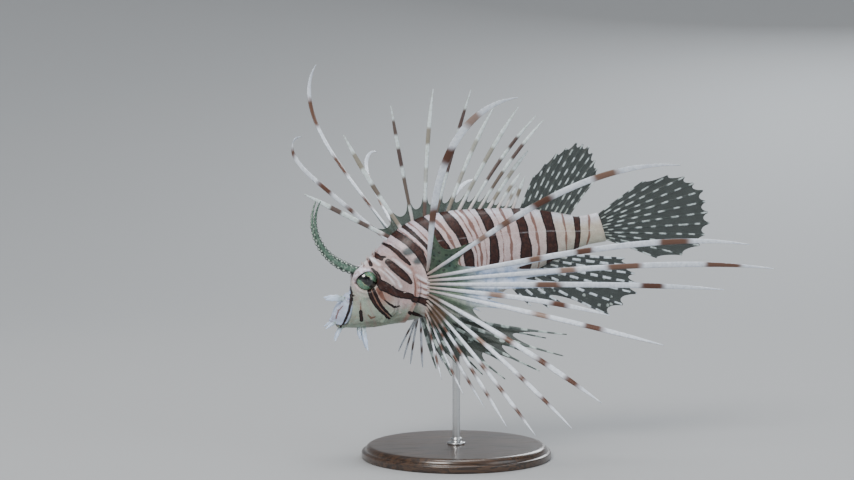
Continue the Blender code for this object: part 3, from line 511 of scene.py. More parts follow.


# The ground colour between the markings, by region, with a painted highlight along the top of the back and painted
# shade down the cheek and over the fin's root.
def groundColour(s, w, h):
    colour = {key: np.array(value) for key, value in skinColours.items()}
    out = np.broadcast_to(colour["cream"], (*np.shape(s), 3)).copy()

    def blend(share, key):
        out[:] = out + (colour[key] - out) * np.clip(share, 0, 1)[..., None]

    blend(0.75 * smooth(s, 92, 125), "rear")
    blend(0.55 * smooth(h, 2, -9) * smooth(s, 40, 60), "green")
    back = sectionAt(s)[0]
    # painted highlight: the skin turns bluish white towards the top of the back
    blend(0.75 * smooth(back - h, 6, 0.5) * smooth(s, 38, 46), "edge")
    blend(0.7 * (1 - smooth(s, 32, 42)) * smooth(s, 20, 26) * smooth(h, -3, 3), "taupe")
    blend(0.8 * smooth(h, 18, 26) * (s < 60), "nape")
    blend((1 - smooth(s, 24, 33)) * smooth(h, 11, 4) * 0.9, "green")
    blend((1 - smooth(s, 13, 15)) * 0.5 * smooth(h, 3, 9), "green")
    blend(smooth(h, -3, -8) * (1 - smooth(s, 36, 46)) * 0.9, "green")
    blend(0.8 * smooth(s, 19, 23) * (1 - smooth(s, 27, 31)) * smooth(h, 9, 5) * smooth(h, -4, 1), "pink")
    # painted shade: soft darker bands where the cheek folds, running down it
    blend(0.4 * (bell(s - 13.6 + 0.1 * h, 0.9) + bell(s - 17.8, 0.7)) * smooth(h, 9, 5), "taupe")
    edge = gillEdge(h)
    blend(0.8 * bell(s - edge + 1.4, 1.3) * smooth(h, 26, 20), "pink")
    # painted shade: two dark teal patches over the fin's root
    for at, reach in (((42.4, 18.3), (3.6, 2)), ((44.9, 13), (2.7, 1.7))):
        blend(0.85 * smooth(np.hypot((s - at[0]) / reach[0], (h - at[1]) / reach[1]), 1.25, 0.6), "paintedShadeTeal")
    far, side, _, _ = nearLine(s, h, skinForm["mouth"])
    blend(smooth(far * side, -0.2, 0.3) * (1 - smooth(s, 12, 14)) * (h > -6) * 0.95, "jaw")
    return out


def skinMaterial():
    colour = skinColours
    look = Look("lionfishSkin", Coat_Weight=0.14, Coat_Roughness=0.22, Specular_IOR_Level=0.3,
                Subsurface_Weight=0.12, Subsurface_Radius=(0.004, 0.0015, 0.001), Subsurface_Scale=0.5)
    edge = (look.noise(900, 3) - 0.5) * 0.5 + (look.noise(3600, 2) - 0.5) * 0.35
    dark, thin, pale = (look.read(name) + edge for name in ("darkMark", "thinMark", "paleMark"))
    # the ground: its region's colour with the painted highlight and shade in it, mottled, with fine dark freckles
    # and broad faint blotches
    ground = look.stain(look.noise(420, 5, 0.6).ramp(0.3, 0.75), look.read("ground", "Color"), (0.86, 0.8, 0.78))
    ground = look.mix(look.noise(2600, 2).ramp(0.63, 0.72) * 0.3, ground, colour["line"])
    ground = look.stain(look.noise(150, 3, 0.6).ramp(0.42, 0.68) * 0.5, ground, (0.72, 0.62, 0.6))
    # scales: small cells, each a touch lighter in its middle
    cell = look.cells(1150.0, feature="DISTANCE_TO_EDGE").ramp(0.0, 0.16)
    ground = look.mix((1.0 - cell) * 0.16, ground, colour["brown"])
    # thin brown lines, then dark bars with a darker outline round a maroon middle, then pale lines
    base = look.mix(thin.ramp(-0.18, 0.14) * 0.85, ground, colour["line"])
    middle = look.mix(look.noise(700, 4).ramp(0.35, 0.7), colour["maroon"], colour["brown"])
    bar = look.mix(dark.ramp(0.35, 0.95), colour["outline"], middle)
    base = look.mix(dark.ramp(-0.12, 0.12), base, bar)
    base = look.mix(pale.ramp(-0.85, 0.65) * 0.75, base, colour["white"])
    base = look.mix(look.read("inMouth"), base, colour["mouth"])
    look.set(Roughness=look.noise(1500, 3).ramp(0.3, 0.7, 0.34, 0.52))
    return look.done(base, cell * 0.6 + look.noise(2500, 3) * 0.5, 0.35, 0.00025)


def buildSkin(material):
    form = skinForm
    angle = np.linspace(-np.pi / 2, 1.5 * np.pi, form["around"], endpoint=False)
    gill = gillStation(angle)
    step = form["gillStep"]
    # rings up to the gill cover's edge, a narrow step down behind it, then rings on to the tail
    head = gill * np.linspace(0, 1, form["headRings"])[:, None] ** form["headCrowd"]
    rest = np.linspace(0, 1, form["bodyRings"])[:, None] ** form["bodyCrowd"]
    rest = gill + step + (body["length"] - gill - step) * rest
    stations = np.concatenate([head, rest])
    plain = plainSkin(stations, angle + 0 * stations)
    # the snout is closed by a half ellipsoid, its rings shrinking on the first one's middle
    turn = np.linspace(0.12, np.pi / 2, form["snoutRings"], endpoint=False)[:, None, None]
    middle = plain[0].mean(0)
    cap = middle + (plain[0] - middle) * np.sin(turn)
    cap[..., 0] = -form["snoutDepth"] * np.cos(turn[..., 0])
    plain = np.concatenate([cap, plain])
    # outward normals from the grid's two tangents
    ahead = np.gradient(plain, axis=0)
    ring = np.roll(plain, -1, 1) - np.roll(plain, 1, 1)
    normal = np.cross(ahead, ring)
    normal /= np.linalg.norm(normal, axis=-1, keepdims=True) + 1e-12
    outward = np.stack([0 * angle, np.cos(angle), np.sin(angle)], -1)
    normal *= np.sign((normal * outward).sum(-1, keepdims=True) + 1e-9)
    s, w, h = np.moveaxis(plain, -1, 0)
    stand = relief(s, w, h, angle + 0 * s)
    points = plain + normal * stand[..., None]
    dark, thin, pale = markings(s, w, h)
    far, _, share, _ = nearLine(s, h, form["mouth"])
    inMouth = (1 - smooth(far, 0.12, 0.42)) * (1 - smooth(share, form["mouthCorner"], form["mouthCorner"] + 0.1))
    ground = np.concatenate([groundColour(s, w, h), np.ones((*s.shape, 1))], -1)
    tip = np.array([-form["snoutDepth"], 0, middle[2]])
    skin = closedTube(points, "lionfishSkin", material, ends=[tip, points[-1].mean(0)],
                      floats={"darkMark": dark, "thinMark": thin, "paleMark": pale, "inMouth": inMouth},
                      colours={"ground": ground})
    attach(skin, "root")
    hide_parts("head", "torso", "tail")
    print("skin:", len(skin.data.polygons), "faces")


# ---- the eyes ----

eyeLook = {"rings": 64, "around": 96, "pupil": 0.4, "bandTurn": -56, "bandWidth": 0.34,
           "iris": (0.05, 0.13, 0.085), "irisPale": (0.16, 0.34, 0.24), "gold": (0.2, 0.2, 0.07),
           "ring": (0.4, 0.44, 0.26), "dark": (0.012, 0.016, 0.014), "black": (0.002, 0.002, 0.003)}


# Pupil, iris streaked towards it, and the dark stripe that crosses the eye, by the distance from the eye's axis.
def eyeMaterial():
    own = eyeLook
    pupil, band = own["pupil"], own["bandWidth"]
    look = Look("lionfishEye", 0.12, Coat_Weight=1.0, Coat_Roughness=0.03, Coat_IOR=1.45)
    x, y = look.read("eyeAlong"), look.read("eyeUp")
    far = (x * x + y * y).math("SQRT")
    polar = look.add("ShaderNodeCombineXYZ", {0: y.math("ARCTAN2", x) * 5.0, 1: far * 1.5})
    streak = look.noise(4.0, 4, 0.6, polar)
    iris = look.mix(streak.ramp(0.35, 0.68), own["iris"], own["irisPale"])
    iris = look.mix(look.noise(900, 4).ramp(0.45, 0.7) * 0.6, iris, own["gold"])
    iris = look.mix(far.ramp(pupil + 0.1, pupil + 0.02) * 0.8, iris, own["ring"])
    turned = np.radians(own["bandTurn"])
    across = (y * float(np.cos(turned)) - x * float(np.sin(turned))).math("ABSOLUTE") + (streak - 0.5) * 0.25
    iris = look.mix(across.ramp(band + 0.08, band - 0.04), iris, own["dark"])
    iris = look.mix(far.ramp(0.86, 0.97), iris, own["dark"])
    look.set(Base_Color=look.mix(far.ramp(pupil + 0.015, pupil - 0.015), iris, own["black"]))
    return look.material


def buildEyes(material):
    look = eyeLook
    polar = np.linspace(0, np.pi, look["rings"])[1:-1, None]
    around = np.linspace(0, 2 * np.pi, look["around"], endpoint=False)
    for side, label in ((1, "left"), (-1, "right")):
        along, up = np.sin(polar) * np.cos(around), np.sin(polar) * np.sin(around)
        # a ball that is flatter across, with the cornea domed a little over the pupil
        out = np.cos(polar) * (1 + 0.06 * bell(polar, 0.5)) + 0 * around
        unit = np.stack([along, side * out, up], -1)
        centre = np.array(eye["at"]) * (1, side, 1)
        size = np.array([eye["radius"], eye["depth"], eye["radius"]])
        ends = [centre + size * (0, side * 1.06, 0), centre - size * (0, side, 0)]
        piece = closedTube(centre + unit * size, f"{label}Eye", material, ends=ends,
                           floats={"eyeAlong": along, "eyeUp": up})
        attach(piece, "root")
        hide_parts(f"{label}_eye")
    print("eyes")


# ---- fins ----

# A ray is a line that leaves its root at one angle and turns to another: angle = root + (tip - root) v^power.
def rayLines(roots, length, rise, out, power, side, steps=96):
    v = np.linspace(0, 1, steps + 1)
    columns = [np.reshape(np.broadcast_to(x, len(roots)), (-1, 1)) for x in (*rise, *out, *power)]
    up = np.radians(columns[0] + (columns[1] - columns[0]) * v ** columns[4])
    away = np.radians(columns[2] + (columns[3] - columns[2]) * v ** columns[5])
    heading = np.stack([np.cos(away) * np.cos(up), side * np.sin(away), np.cos(away) * np.sin(up)], -1)
    stepped = (heading[:, 1:] + heading[:, :-1]) / 2 * (np.asarray(length)[:, None, None] / steps)
    return np.concatenate([roots[:, None], roots[:, None] + np.cumsum(stepped, 1)], 1), heading


# Values of a line's table at any share of its length.
def along(table, v):
    at = np.clip(v, 0, 1) * (len(table) - 1)
    i = np.minimum(at.astype(int), len(table) - 2)
    f = (at - i)[..., None]
    return table[i] * (1 - f) + table[i + 1] * f


# A width along a ray that swells from its root to a peak and narrows to the tip.
def tapered(start, full, tip, peak=0.35):
    def width(v):
        beyond = np.clip((v - peak) / (1 - peak), 0, 1)
        return np.where(v < peak, start + (full - start) * v / peak, full + (tip - full) * beyond**1.5)
    return width


# A width that stays full over most of the ray and narrows quickly at the tip.
def bladed(start, full, tip, peak=0.4, fall=0.72):
    def width(v):
        beyond = np.clip((v - fall) / (1 - fall), 0, 1)
        return np.where(v < peak, start + (full - start) * v / peak, full + (tip - full) * beyond**1.6)
    return width


# Rows of a fin's table as one value for each ray; its keys are the ray numbers that it gives values for.
def perRay(table, *names):
    numbers = np.arange(1, table["rays"] + 1)
    return [np.interp(numbers, table.get("keys", numbers), table[name]) for name in names]


def backRoot(start, end):
    def root(share):
        s = start + (end - start) * np.asarray(share)
        return np.stack([s, 0 * s, topAt(s, 0 * s, 0.2)], -1)
    return root


def bellyRoot(start, end, w=0.0):
    def root(share):
        s = start + (end - start) * np.asarray(share)
        return np.stack([s, w + 0 * s, bellyAt(s, w + 0 * s, 0.2)], -1)
    return root


def flankRoot(side, sTop, sLow, hTop, hLow):
    def root(share):
        share = np.asarray(share)
        s, h = sTop + (sLow - sTop) * share, hTop + (hLow - hTop) * share
        return np.stack([s, side * sideAt(s, h, 0.35), h], -1)
    return root


def tailRoot(hTop, hLow):
    def root(share):
        h = hTop + (hLow - hTop) * np.asarray(share)
        return np.stack([body["length"] + 0.2 + 0 * h, 0 * h, h], -1)
    return root


# How deep inside a dark band each place lies in mm (positive inside), and how dark that band is, by ray and
# distance from its tip. Each ray's bands are (centre, half length, darkness).
def bandsAt(bands, ray, fromTip):
    depth, dark = np.full(ray.shape, outside), np.zeros(ray.shape)
    for i, own in enumerate(bands):
        for centre, half, strength in own:
            inside = half - np.abs(fromTip - centre)
            closer = (ray == i) & (inside > depth)
            depth, dark = np.where(closer, inside, depth), np.where(closer, strength, dark)
    return depth, dark


# Bands at even steps from the tip.
def evenBands(first, step, half, dark, count=4):
    return tuple((first + step * k, half, dark) for k in range(count))


# How deep a fin's root is sunk in the body, half a ray's thickness at its sides, and how far a web bellies out
# for each mm of its width.
rootDepth, thinnest, webBelly = 1.2, 0.1, 0.06


# A fin as one closed plate on a grid. Columns run across: each ray is a rounded ridge of several columns,
# each web between two rays a thin sheet of several more, cut back in the middle and bellied a little.
# Rows run out along the rays. Cells beyond a web's reach are left out, and the plate's edge is walled.
def buildFin(name, node, fan, material):
    count, rows = len(fan["length"]), fan["rows"]
    share = np.asarray(fan.get("at", np.linspace(0, 1, count)))
    roots = fan["root"](share)
    lines, heading = rayLines(roots, fan["length"], fan["rise"], fan["out"], fan["power"], fan["side"])
    across = np.gradient(lines, axis=0)
    across[:, 0] = np.gradient(roots, axis=0)
    across -= (across * heading).sum(-1, keepdims=True) * heading
    across /= np.linalg.norm(across, axis=-1, keepdims=True)
    normals = np.cross(heading, across)
    v = np.linspace(0, 1, rows + 1) ** fan.get("crowd", 1.0)
    size = np.asarray(fan.get("size", np.ones(count)), float)
    halfThick = fan["thick"](v) / 2
    webThick = fan["webThick"] / 2
    xs = np.array(fan.get("ridge", (-1, -0.72, -0.4, 0, 0.4, 0.72, 1)))
    webColumns = fan.get("webColumns", 6)
    split = fan.get("split", 0.0)
    limit, middle, normal, half, fromRay, number = [], [], [], [], [], []
    webRows = [int(round(x * rows)) for x in fan["web"]]
    edgeFine = np.linspace(0, 1, lines.shape[1])
    wideFine = fan["wide"](edgeFine) / 2
    for i in range(count):
        centre, side, up = along(lines[i], v), along(across[i], v), along(normals[i], v)
        halfWide = fan["wide"](v) / 2 * size[i]
        for x in xs:
            middle.append(centre + side * (x * halfWide)[:, None])
            normal.append(up)
            ridge = np.sqrt(max(1 - x * x, 0.0)) * (1 - split * smooth(v, 0.35, 0.75) * bell(x, 0.3))
            half.append(thinnest + (halfThick - thinnest) * ridge if x * x < 1 else np.full(rows + 1, webThick))
            fromRay.append((abs(x) - 1) * halfWide)
            number.append(np.full(rows + 1, float(i)))
        limit += [rows] * (len(xs) - 1)
        if i == count - 1:
            break
        limit += [webRows[i]] * (webColumns + 1)
        reach = np.clip(np.arange(rows + 1) / max(webRows[i], 1), 0, 1)
        right = lines[i] + across[i] * (wideFine * size[i])[:, None]
        left = lines[i + 1] - across[i + 1] * (wideFine * size[i + 1])[:, None]
        for f in np.arange(1, webColumns + 1) / (webColumns + 1):
            cut = v * (1 - fan["notch"] * (4 * f * (1 - f)) ** 0.8 * reach**2)
            a, b = along(right, cut), along(left, cut)
            up = along(normals[i], cut) * (1 - f) + along(normals[i + 1], cut) * f
            gap = np.linalg.norm(a - b, axis=-1)
            belly = webBelly * np.minimum(gap, 12) * np.sin(np.pi * f) * (-1) ** i
            middle.append(a * (1 - f) + b * f + up * belly[:, None])
            normal.append(up)
            half.append(webThick * (1 - 0.5 * reach**6))
            fromRay.append(gap * min(f, 1 - f))
            number.append(np.full(rows + 1, i + f))
    middle, normal, half, fromRay, number = (np.array(x) for x in (middle, normal, half, fromRay, number))
    # one more row at the root, sunk into the body
    first = middle[:, 1:2] - middle[:, :1]
    first /= np.linalg.norm(first, axis=-1, keepdims=True)
    sunk = middle[:, :1] - first * rootDepth + np.array(fan["inward"]) * rootDepth * 0.5
    middle = np.concatenate([sunk, middle], 1)
    normal, half, fromRay, number = (np.concatenate([x[:, :1], x], 1) for x in (normal, half, fromRay, number))
    normal /= np.linalg.norm(normal, axis=-1, keepdims=True)
    v = np.concatenate([[0], v])
    lengths = np.interp(number, np.arange(count), fan["length"])
    alongMm = v * lengths
    columns, tall = middle.shape[:2]
    c, r = (k.ravel() for k in np.meshgrid(np.arange(columns - 1), np.arange(tall - 1), indexing="ij"))
    keep = r < np.array(limit)[c] + 1
    c, r = c[keep], r[keep]
    quads = np.stack([c * tall + r, c * tall + r + 1, (c + 1) * tall + r + 1, (c + 1) * tall + r], -1)
    points = np.concatenate([(middle + way * normal * half[..., None]).reshape(-1, 3) for way in (1, -1)])
    total = columns * tall
    rear = quads[:, ::-1] + total
    ends = np.concatenate([quads[:, [k, (k + 1) % 4]] for k in range(4)])
    codes, reverse = ends[:, 0] * total + ends[:, 1], ends[:, 1] * total + ends[:, 0]
    rim = ends[~np.isin(codes, reverse)]
    walls = np.stack([rim[:, 1], rim[:, 0], rim[:, 0] + total, rim[:, 1] + total], -1)
    # the map: front on the left half, rear on the right, walls on a strip of their own column
    u = np.arange(columns) / (columns - 1) * 0.49
    mapped = np.stack([np.repeat(u, tall), np.tile(np.linspace(0.01, 0.99, tall), columns)], -1)
    mapped = np.concatenate([mapped, mapped + (0.505, 0)])
    faces = np.concatenate([quads, rear, walls])
    used = np.unique(faces)
    renumber = np.zeros(2 * total, np.int64)
    renumber[used] = np.arange(len(used))
    ray, fromTip = np.round(number), lengths - alongMm
    tint = np.tile(fan["tint"](number, alongMm).reshape(-1, 4), (2, 1))[used]
    wallUv = mapped[walls]
    wallUv[:, 2:] = mapped[walls[:, 2:] - total] + (0.002, 0)
    floats = {"fromRay": fromRay, "alongMm": alongMm, "rayNumber": number}
    if "bands" in fan:
        floats["bandDepth"], floats["bandDark"] = bandsAt(fan["bands"], ray, fromTip)
    else:
        floats["bandPhase"] = fromTip / fan["bandLength"] + 0.5 + fan["bandShift"](ray)
    if "patch" in fan:
        floats["patch"] = fan["patch"](number, alongMm)
    piece = addPiece(name, placed(points[used]), [renumber[faces]], material,
                     uv=[np.concatenate([mapped[quads], mapped[rear], wallUv])],
                     floats={key: np.tile(value.ravel(), 2)[used] for key, value in floats.items()},
                     colours={"webTint": tint})
    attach(piece, "root")
    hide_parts(node)
    print(name + ":", len(piece.data.polygons), "faces")


# A fin's look: banded rays over a web whose colour and clearness ride in the attribute webTint.
def finMaterial(name, own):
    look = Look(name, 0.38, Coat_Weight=0.15, Coat_Roughness=0.2, Specular_IOR_Level=0.35)
    wander = look.noise(160, 2) - 0.5
    if "bandEdge" in own:
        edge, strength = own["bandEdge"], look.read("bandDark")
        depth = look.read("bandDepth") + wander * (2 * edge)
        band = depth.ramp(-edge, edge) * strength.ramp(0.0, 0.7, 0.3, 1.0)
        bandColour = look.mix(strength.ramp(0.55, 1.0), own["weakBand"], own["band"])
    else:
        phase = look.read("bandPhase") + wander * own["bandWobble"]
        level, soft = float(np.cos(np.pi * own["bandShare"])), own["bandSoft"]
        band = (phase * (2 * np.pi)).math("COSINE").ramp(level - soft, level + soft)
        bandColour = own["band"]
    fine = (look.noise(1400, 3) - 0.5) * 0.3
    inRay = (look.read("fromRay") + fine).ramp(0.12, -0.08)
    pale = look.mix(look.noise(700, 4).ramp(0.35, 0.7), own["ray"], own["rayShade"])
    pale = look.mix(look.read("alongMm").ramp(own["rootMm"] + 6, 0.0) * 0.8, pale, own["root"])
    ray = look.mix(band * own["bandDepth"], pale, bandColour)
    spot = (look.cells(own["spotScale"], 0.8) + fine).ramp(own["spotSize"] + 0.06, own["spotSize"] - 0.04)
    spot = spot * look.read("rayNumber").ramp(own["spotUpTo"], own["spotUpTo"] - 0.6) * own["spotDepth"]
    web = look.stain(look.noise(260, 4, 0.6).ramp(0.35, 0.7), look.read("webTint", "Color"), (0.55, 0.6, 0.58))
    if "webStain" in own:
        web = look.stain(look.noise(130, 4, 0.65).ramp(0.45, 0.65) * 0.6, web, own["webStain"])
    base = look.mix(inRay, look.mix(spot, web, own["spot"]), ray)
    clear = look.read("webTint", "Alpha").math("MAXIMUM", spot * 0.85).math("MAXIMUM", inRay)
    if "patch" in own:
        patch = look.read("patch") * look.noise(500, 3).ramp(0.2, 0.45, 0.6, 1.0)
        base, clear = look.mix(patch, base, own["patch"]), clear.math("MAXIMUM", patch)
    look.set(Alpha=clear)
    height = look.noise(1800, 3) + (look.read("alongMm") * 5.2).math("COSINE") * 0.25
    return look.done(base, height, 0.25, 0.0002)


def flatTint(colour, clearness):
    def tint(number, alongMm):
        out = np.empty((*number.shape, 4))
        out[..., :3], out[..., 3] = colour, clearness
        return out
    return tint


finColours = {
    "smoke": (0.03, 0.042, 0.038), "blueWhite": (0.56, 0.64, 0.8), "greenWeb": (0.1, 0.16, 0.105),
    "spot": (0.02, 0.03, 0.025), "dorsalWeb": (0.06, 0.09, 0.07), "pelvicWeb": (0.05, 0.065, 0.055),
}

finLooks = {
    "spines": {"bandEdge": 1.0, "bandDepth": 0.95, "weakBand": (0.22, 0.19, 0.14), "ray": (0.7, 0.79, 0.83),
               "rayShade": (0.52, 0.6, 0.58), "band": (0.06, 0.024, 0.018), "rootMm": 3, "root": (0.62, 0.5, 0.48),
               "spotScale": 300.0, "spotSize": 0.3, "spotDepth": 0.6, "spot": finColours["spot"], "spotUpTo": 99},
    "spotted": {"bandWobble": 0.9, "bandShare": 0.55, "bandSoft": 0.45, "bandDepth": 0.94, "ray": (0.6, 0.68, 0.7),
                "rayShade": (0.32, 0.38, 0.37), "band": (0.02, 0.028, 0.025), "rootMm": 1, "root": (0.3, 0.34, 0.3),
                "spotScale": 330.0, "spotSize": 0.24, "spotDepth": 0.3, "spot": finColours["spot"], "spotUpTo": 99},
    "anal": {"bandWobble": 0.5, "bandShare": 0.4, "bandSoft": 0.25, "bandDepth": 0.95, "ray": (0.72, 0.8, 0.88),
             "rayShade": (0.5, 0.58, 0.62), "band": (0.015, 0.02, 0.02), "rootMm": 1, "root": (0.4, 0.42, 0.36),
             "spotScale": 260.0, "spotSize": 0.2, "spotDepth": 0.7, "spot": (0.5, 0.58, 0.56), "spotUpTo": 99},
    "pelvic": {"bandWobble": 0.6, "bandShare": 0.55, "bandSoft": 0.35, "bandDepth": 0.85, "ray": (0.6, 0.7, 0.68),
               "rayShade": (0.36, 0.45, 0.42), "band": (0.04, 0.055, 0.048), "rootMm": 2, "root": (0.3, 0.36, 0.3),
               "spotScale": 130.0, "spotSize": 0.2, "spotDepth": 0.85, "spot": (0.55, 0.66, 0.64), "spotUpTo": 99},
    "pectoral": {"bandEdge": 2.2, "bandDepth": 1.0, "weakBand": (0.25, 0.155, 0.115), "ray": (0.78, 0.84, 0.93),
                 "rayShade": (0.62, 0.68, 0.78), "band": (0.09, 0.036, 0.022), "rootMm": 14,
                 "root": (0.3, 0.19, 0.13), "patch": (0.085, 0.045, 0.024), "webStain": (0.45, 0.62, 0.95),
                 "spotScale": 400.0, "spotSize": 0.3, "spotDepth": 0.75, "spot": finColours["spot"],
                 "spotUpTo": 2.1},
}

dorsalSpines = {
    "rays": 13,
    "length": (44, 50, 54, 59, 59, 53, 55, 54, 51, 33, 20, 12, 16),
    "root": (135, 106, 84, 70, 58, 51, 45, 41, 41, 41, 42, 46, 52),
    "tip": (135, 99, 82, 64, 55, 42, 38, 28, 29, 31, 34, 44, 50),
    "lean": (6, -5, 4, -3, 4, -4, 3, -3, 3, -2, 2, 0, 0),
    "size": (1.25, 1.2, 1, 1.1, 0.95, 1.1, 1.1, 0.95, 0.95, 1.05, 0.9, 0.8, 0.9),
    "from": 36.5, "to": 95.5,
}
softDorsal = {
    "rays": 11, "out": (0, 3), "rows": 60, "inward": (0, 0, -1), "web": (1,) * 10, "notch": 0.06, "split": 0.6,
    "wide": (0.7, 0.7, 0.6), "thick": (1.2, 0.85, 0.4), "bandLength": 6.5, "sway": 2.1,
    "keys": (1, 3, 5, 7, 9, 11), "length": (17, 29, 36, 36, 30, 23), "root": (52, 49, 46, 44, 42, 40),
    "tip": (47, 44, 41, 38, 34, 30),
}
tailFin = {
    "rays": 12, "out": (-2, 6), "rows": 70, "inward": (-1, 0, 0), "web": (1,) * 11, "notch": 0.05, "split": 0.7,
    "wide": (0.6, 0.75, 0.7), "thick": (1.6, 0.9, 0.4), "bandLength": 7.0, "sway": 1.9,
    "keys": (1, 2, 3, 5, 8, 10, 11, 12), "length": (27, 38, 45, 51, 51, 46, 38, 26),
    "root": (20, 14, 9, 0, -14, -24, -30, -36), "tip": (16, 11, 7, -1, -15, -25, -32, -40),
}
analFin = {
    "rays": 10, "out": (0, 4), "rows": 64, "inward": (0, 0, 1), "web": (0.8, 0.8, 0.6, *(1,) * 6), "notch": 0.08,
    "split": 0.6, "wide": (0.9, 1.2, 0.7), "thick": (1.3, 0.95, 0.4), "bandLength": 6.5, "sway": 2.7,
    "keys": (1, 2, 3, 4, 6, 8, 10), "length": (13, 19, 25, 42, 47, 39, 28),
    "root": (-66, -60, -54, -48, -36, -30, -25), "tip": (-60, -54, -48, -42, -31, -25, -20),
}
pelvicFin = {
    "rays": 6, "length": (30, 37, 46, 56, 62, 60), "root": (-86, -78, -62, -49, -39, -30),
    "tip": (-82, -74, -56, -43, -33, -24), "out": (22, 24, 26, 28, 28, 26), "outTip": (16, 18, 16, 12, 8, 4),
}
leftPectoral = {
    "rays": 14, "crowd": 1.1, "spread": 0.6,
    "length": (105, 128, 146, 156, 134, 84, 110, 95, 92, 83, 72, 58, 47, 36),
    "root": (74, 20, -6, -12, -17, -23, -29, -46, -57, -69, -76, -85, -94, -103),
    "tip": (-12, -22, -26, -25, -23, -33, -33, -55, -66, -74, -80, -78, -83, -97),
    "out": (44, 38, 34, 32, 32, 32, 34, 38, 42, 44, 46, 46, 46, 46),
    "outTip": (18, 12, 8, 6, 6, 8, 12, 20, 24, 26, 28, 28, 30, 32),
    "sweep": (2.6, 2.5, 3, 3, 3, 2, 1.5, 1, 1, 1, 1, 1, 1, 1),
    "size": (1.3, 1.12, 1.05, 1, 1, 0.9, 0.9, 0.95, 0.75, 0.68, 0.6, 0.5, 0.45, 0.4), "fall": 0.74,
    "web": (0.25, 0.2, 0.43, 0.48, 0.48, 0.46, 0.37, 0.33, 0.33, 0.33, 0.33, 0.33, 0.33),
}
# Dark bands of each ray: distance of the centre from the tip, half length, darkness.
dorsalBands = (
    ((16, 3, 0.9), (31, 3, 0.9), (43, 2, 0.9)), ((14, 4, 0.6), (29, 3, 0.8), (45, 3, 0.6)),
    ((10, 3.6, 0.9), (24, 4.5, 1), (40, 7, 0.85)), ((22, 4, 0.6), (40, 3, 0.35), (56, 4, 0.9)),
    ((14, 4.6, 1), (33, 6.5, 1), (56, 4, 0.8)), ((20, 3, 0.4), (36, 3, 0.45), (50, 4, 0.6)),
    ((26, 4, 0.5), (42, 3, 0.45)), ((16.5, 3.4, 1), (32, 6, 0.95)), ((19, 4.4, 1), (35, 5, 0.85)),
    ((14, 2.5, 0.5), (26, 2.5, 0.6)), ((9, 2, 0.6),), ((6, 1.5, 0.5),), ((8, 2, 0.7),),
)
leftBands = (
    ((22, 3.6, 0.55), (42, 4.2, 1), (73, 4, 0.85)), ((33, 5.5, 0.75), (63, 4.6, 1), (82, 3.5, 0.8), (95, 3, 0.6)),
    ((33, 7, 0.85), (73, 4, 0.9), (95, 3.5, 0.75)), ((23, 8, 0.85), (66, 7, 0.8), (92, 4, 0.6)),
    ((32, 5, 0.95), (78, 6, 0.8)), ((23.5, 3.4, 0.95), (52, 4, 0.6)), ((32, 4.6, 0.95), (56, 3, 0.6)),
    ((16, 3.4, 1), (32, 3, 1), (50, 2.8, 0.85)), ((17, 3, 1), (31.5, 2.8, 1), (57, 2.5, 0.7)),
    ((12.5, 2.8, 1), (26, 2.5, 1), (39, 2.5, 0.9)), evenBands(17, 12.5, 2.6, 1), evenBands(14, 13, 2.6, 1),
    evenBands(12, 13, 2.5, 1, 3), evenBands(10, 12, 2.4, 1, 3),
)
rightBands = (
    ((13, 2.4, 0.9), (40, 4.6, 0.9), (58.5, 3, 0.9), (76, 4, 0.8)),
    ((27, 7.5, 0.85), (58, 6, 0.9), (81.5, 3.8, 0.95), (102, 4, 0.8)),
    ((27.5, 3, 0.85), (51, 3.6, 0.7), (72, 4, 0.8)), ((36, 5, 0.9), (62, 5, 0.9), (88, 5, 0.8)),
    *(evenBands(22, 27, 4.5, 0.9),) * 3, *(evenBands(16, 20, 3.2, 1),) * 7,
)
rightPectoral = {
    "rays": 14, "crowd": 0.95, "spread": 1,
    "length": (107.5, 125, 118, 126, 118, 92, 100, 92, 88, 80, 68, 56, 46, 36),
    "root": (121, 108, 93, 34, 16, 0, -14, -36, -58, -80, -96, -108, -118, -130),
    "tip": (-35, 38, -40, -35, -26, -28, -30, -46, -64, -82, -96, -106, -114, -124),
    "out": (38, 30, 64, 66, 68, 68, 68, 66, 64, 62, 60, 58, 56, 54),
    "outTip": (30, 20, 50, 52, 54, 56, 56, 54, 52, 50, 48, 46, 44, 42),
    "sweep": (12, 5, 10, 8, 3, 2, 1, 1, 1, 1, 1, 1, 1, 1),
    "size": (0.9, 1.05, 0.95, 0.85, 0.75, 0.7, 0.7, 0.65, 0.65, 0.6, 0.55, 0.5, 0.45, 0.4), "fall": 0.86,
    "web": (0.3, 0.25, 0.25, 0.25, 0.33, 0.33, 0.33, 0.33, 0.33, 0.33, 0.33, 0.33, 0.33),
}


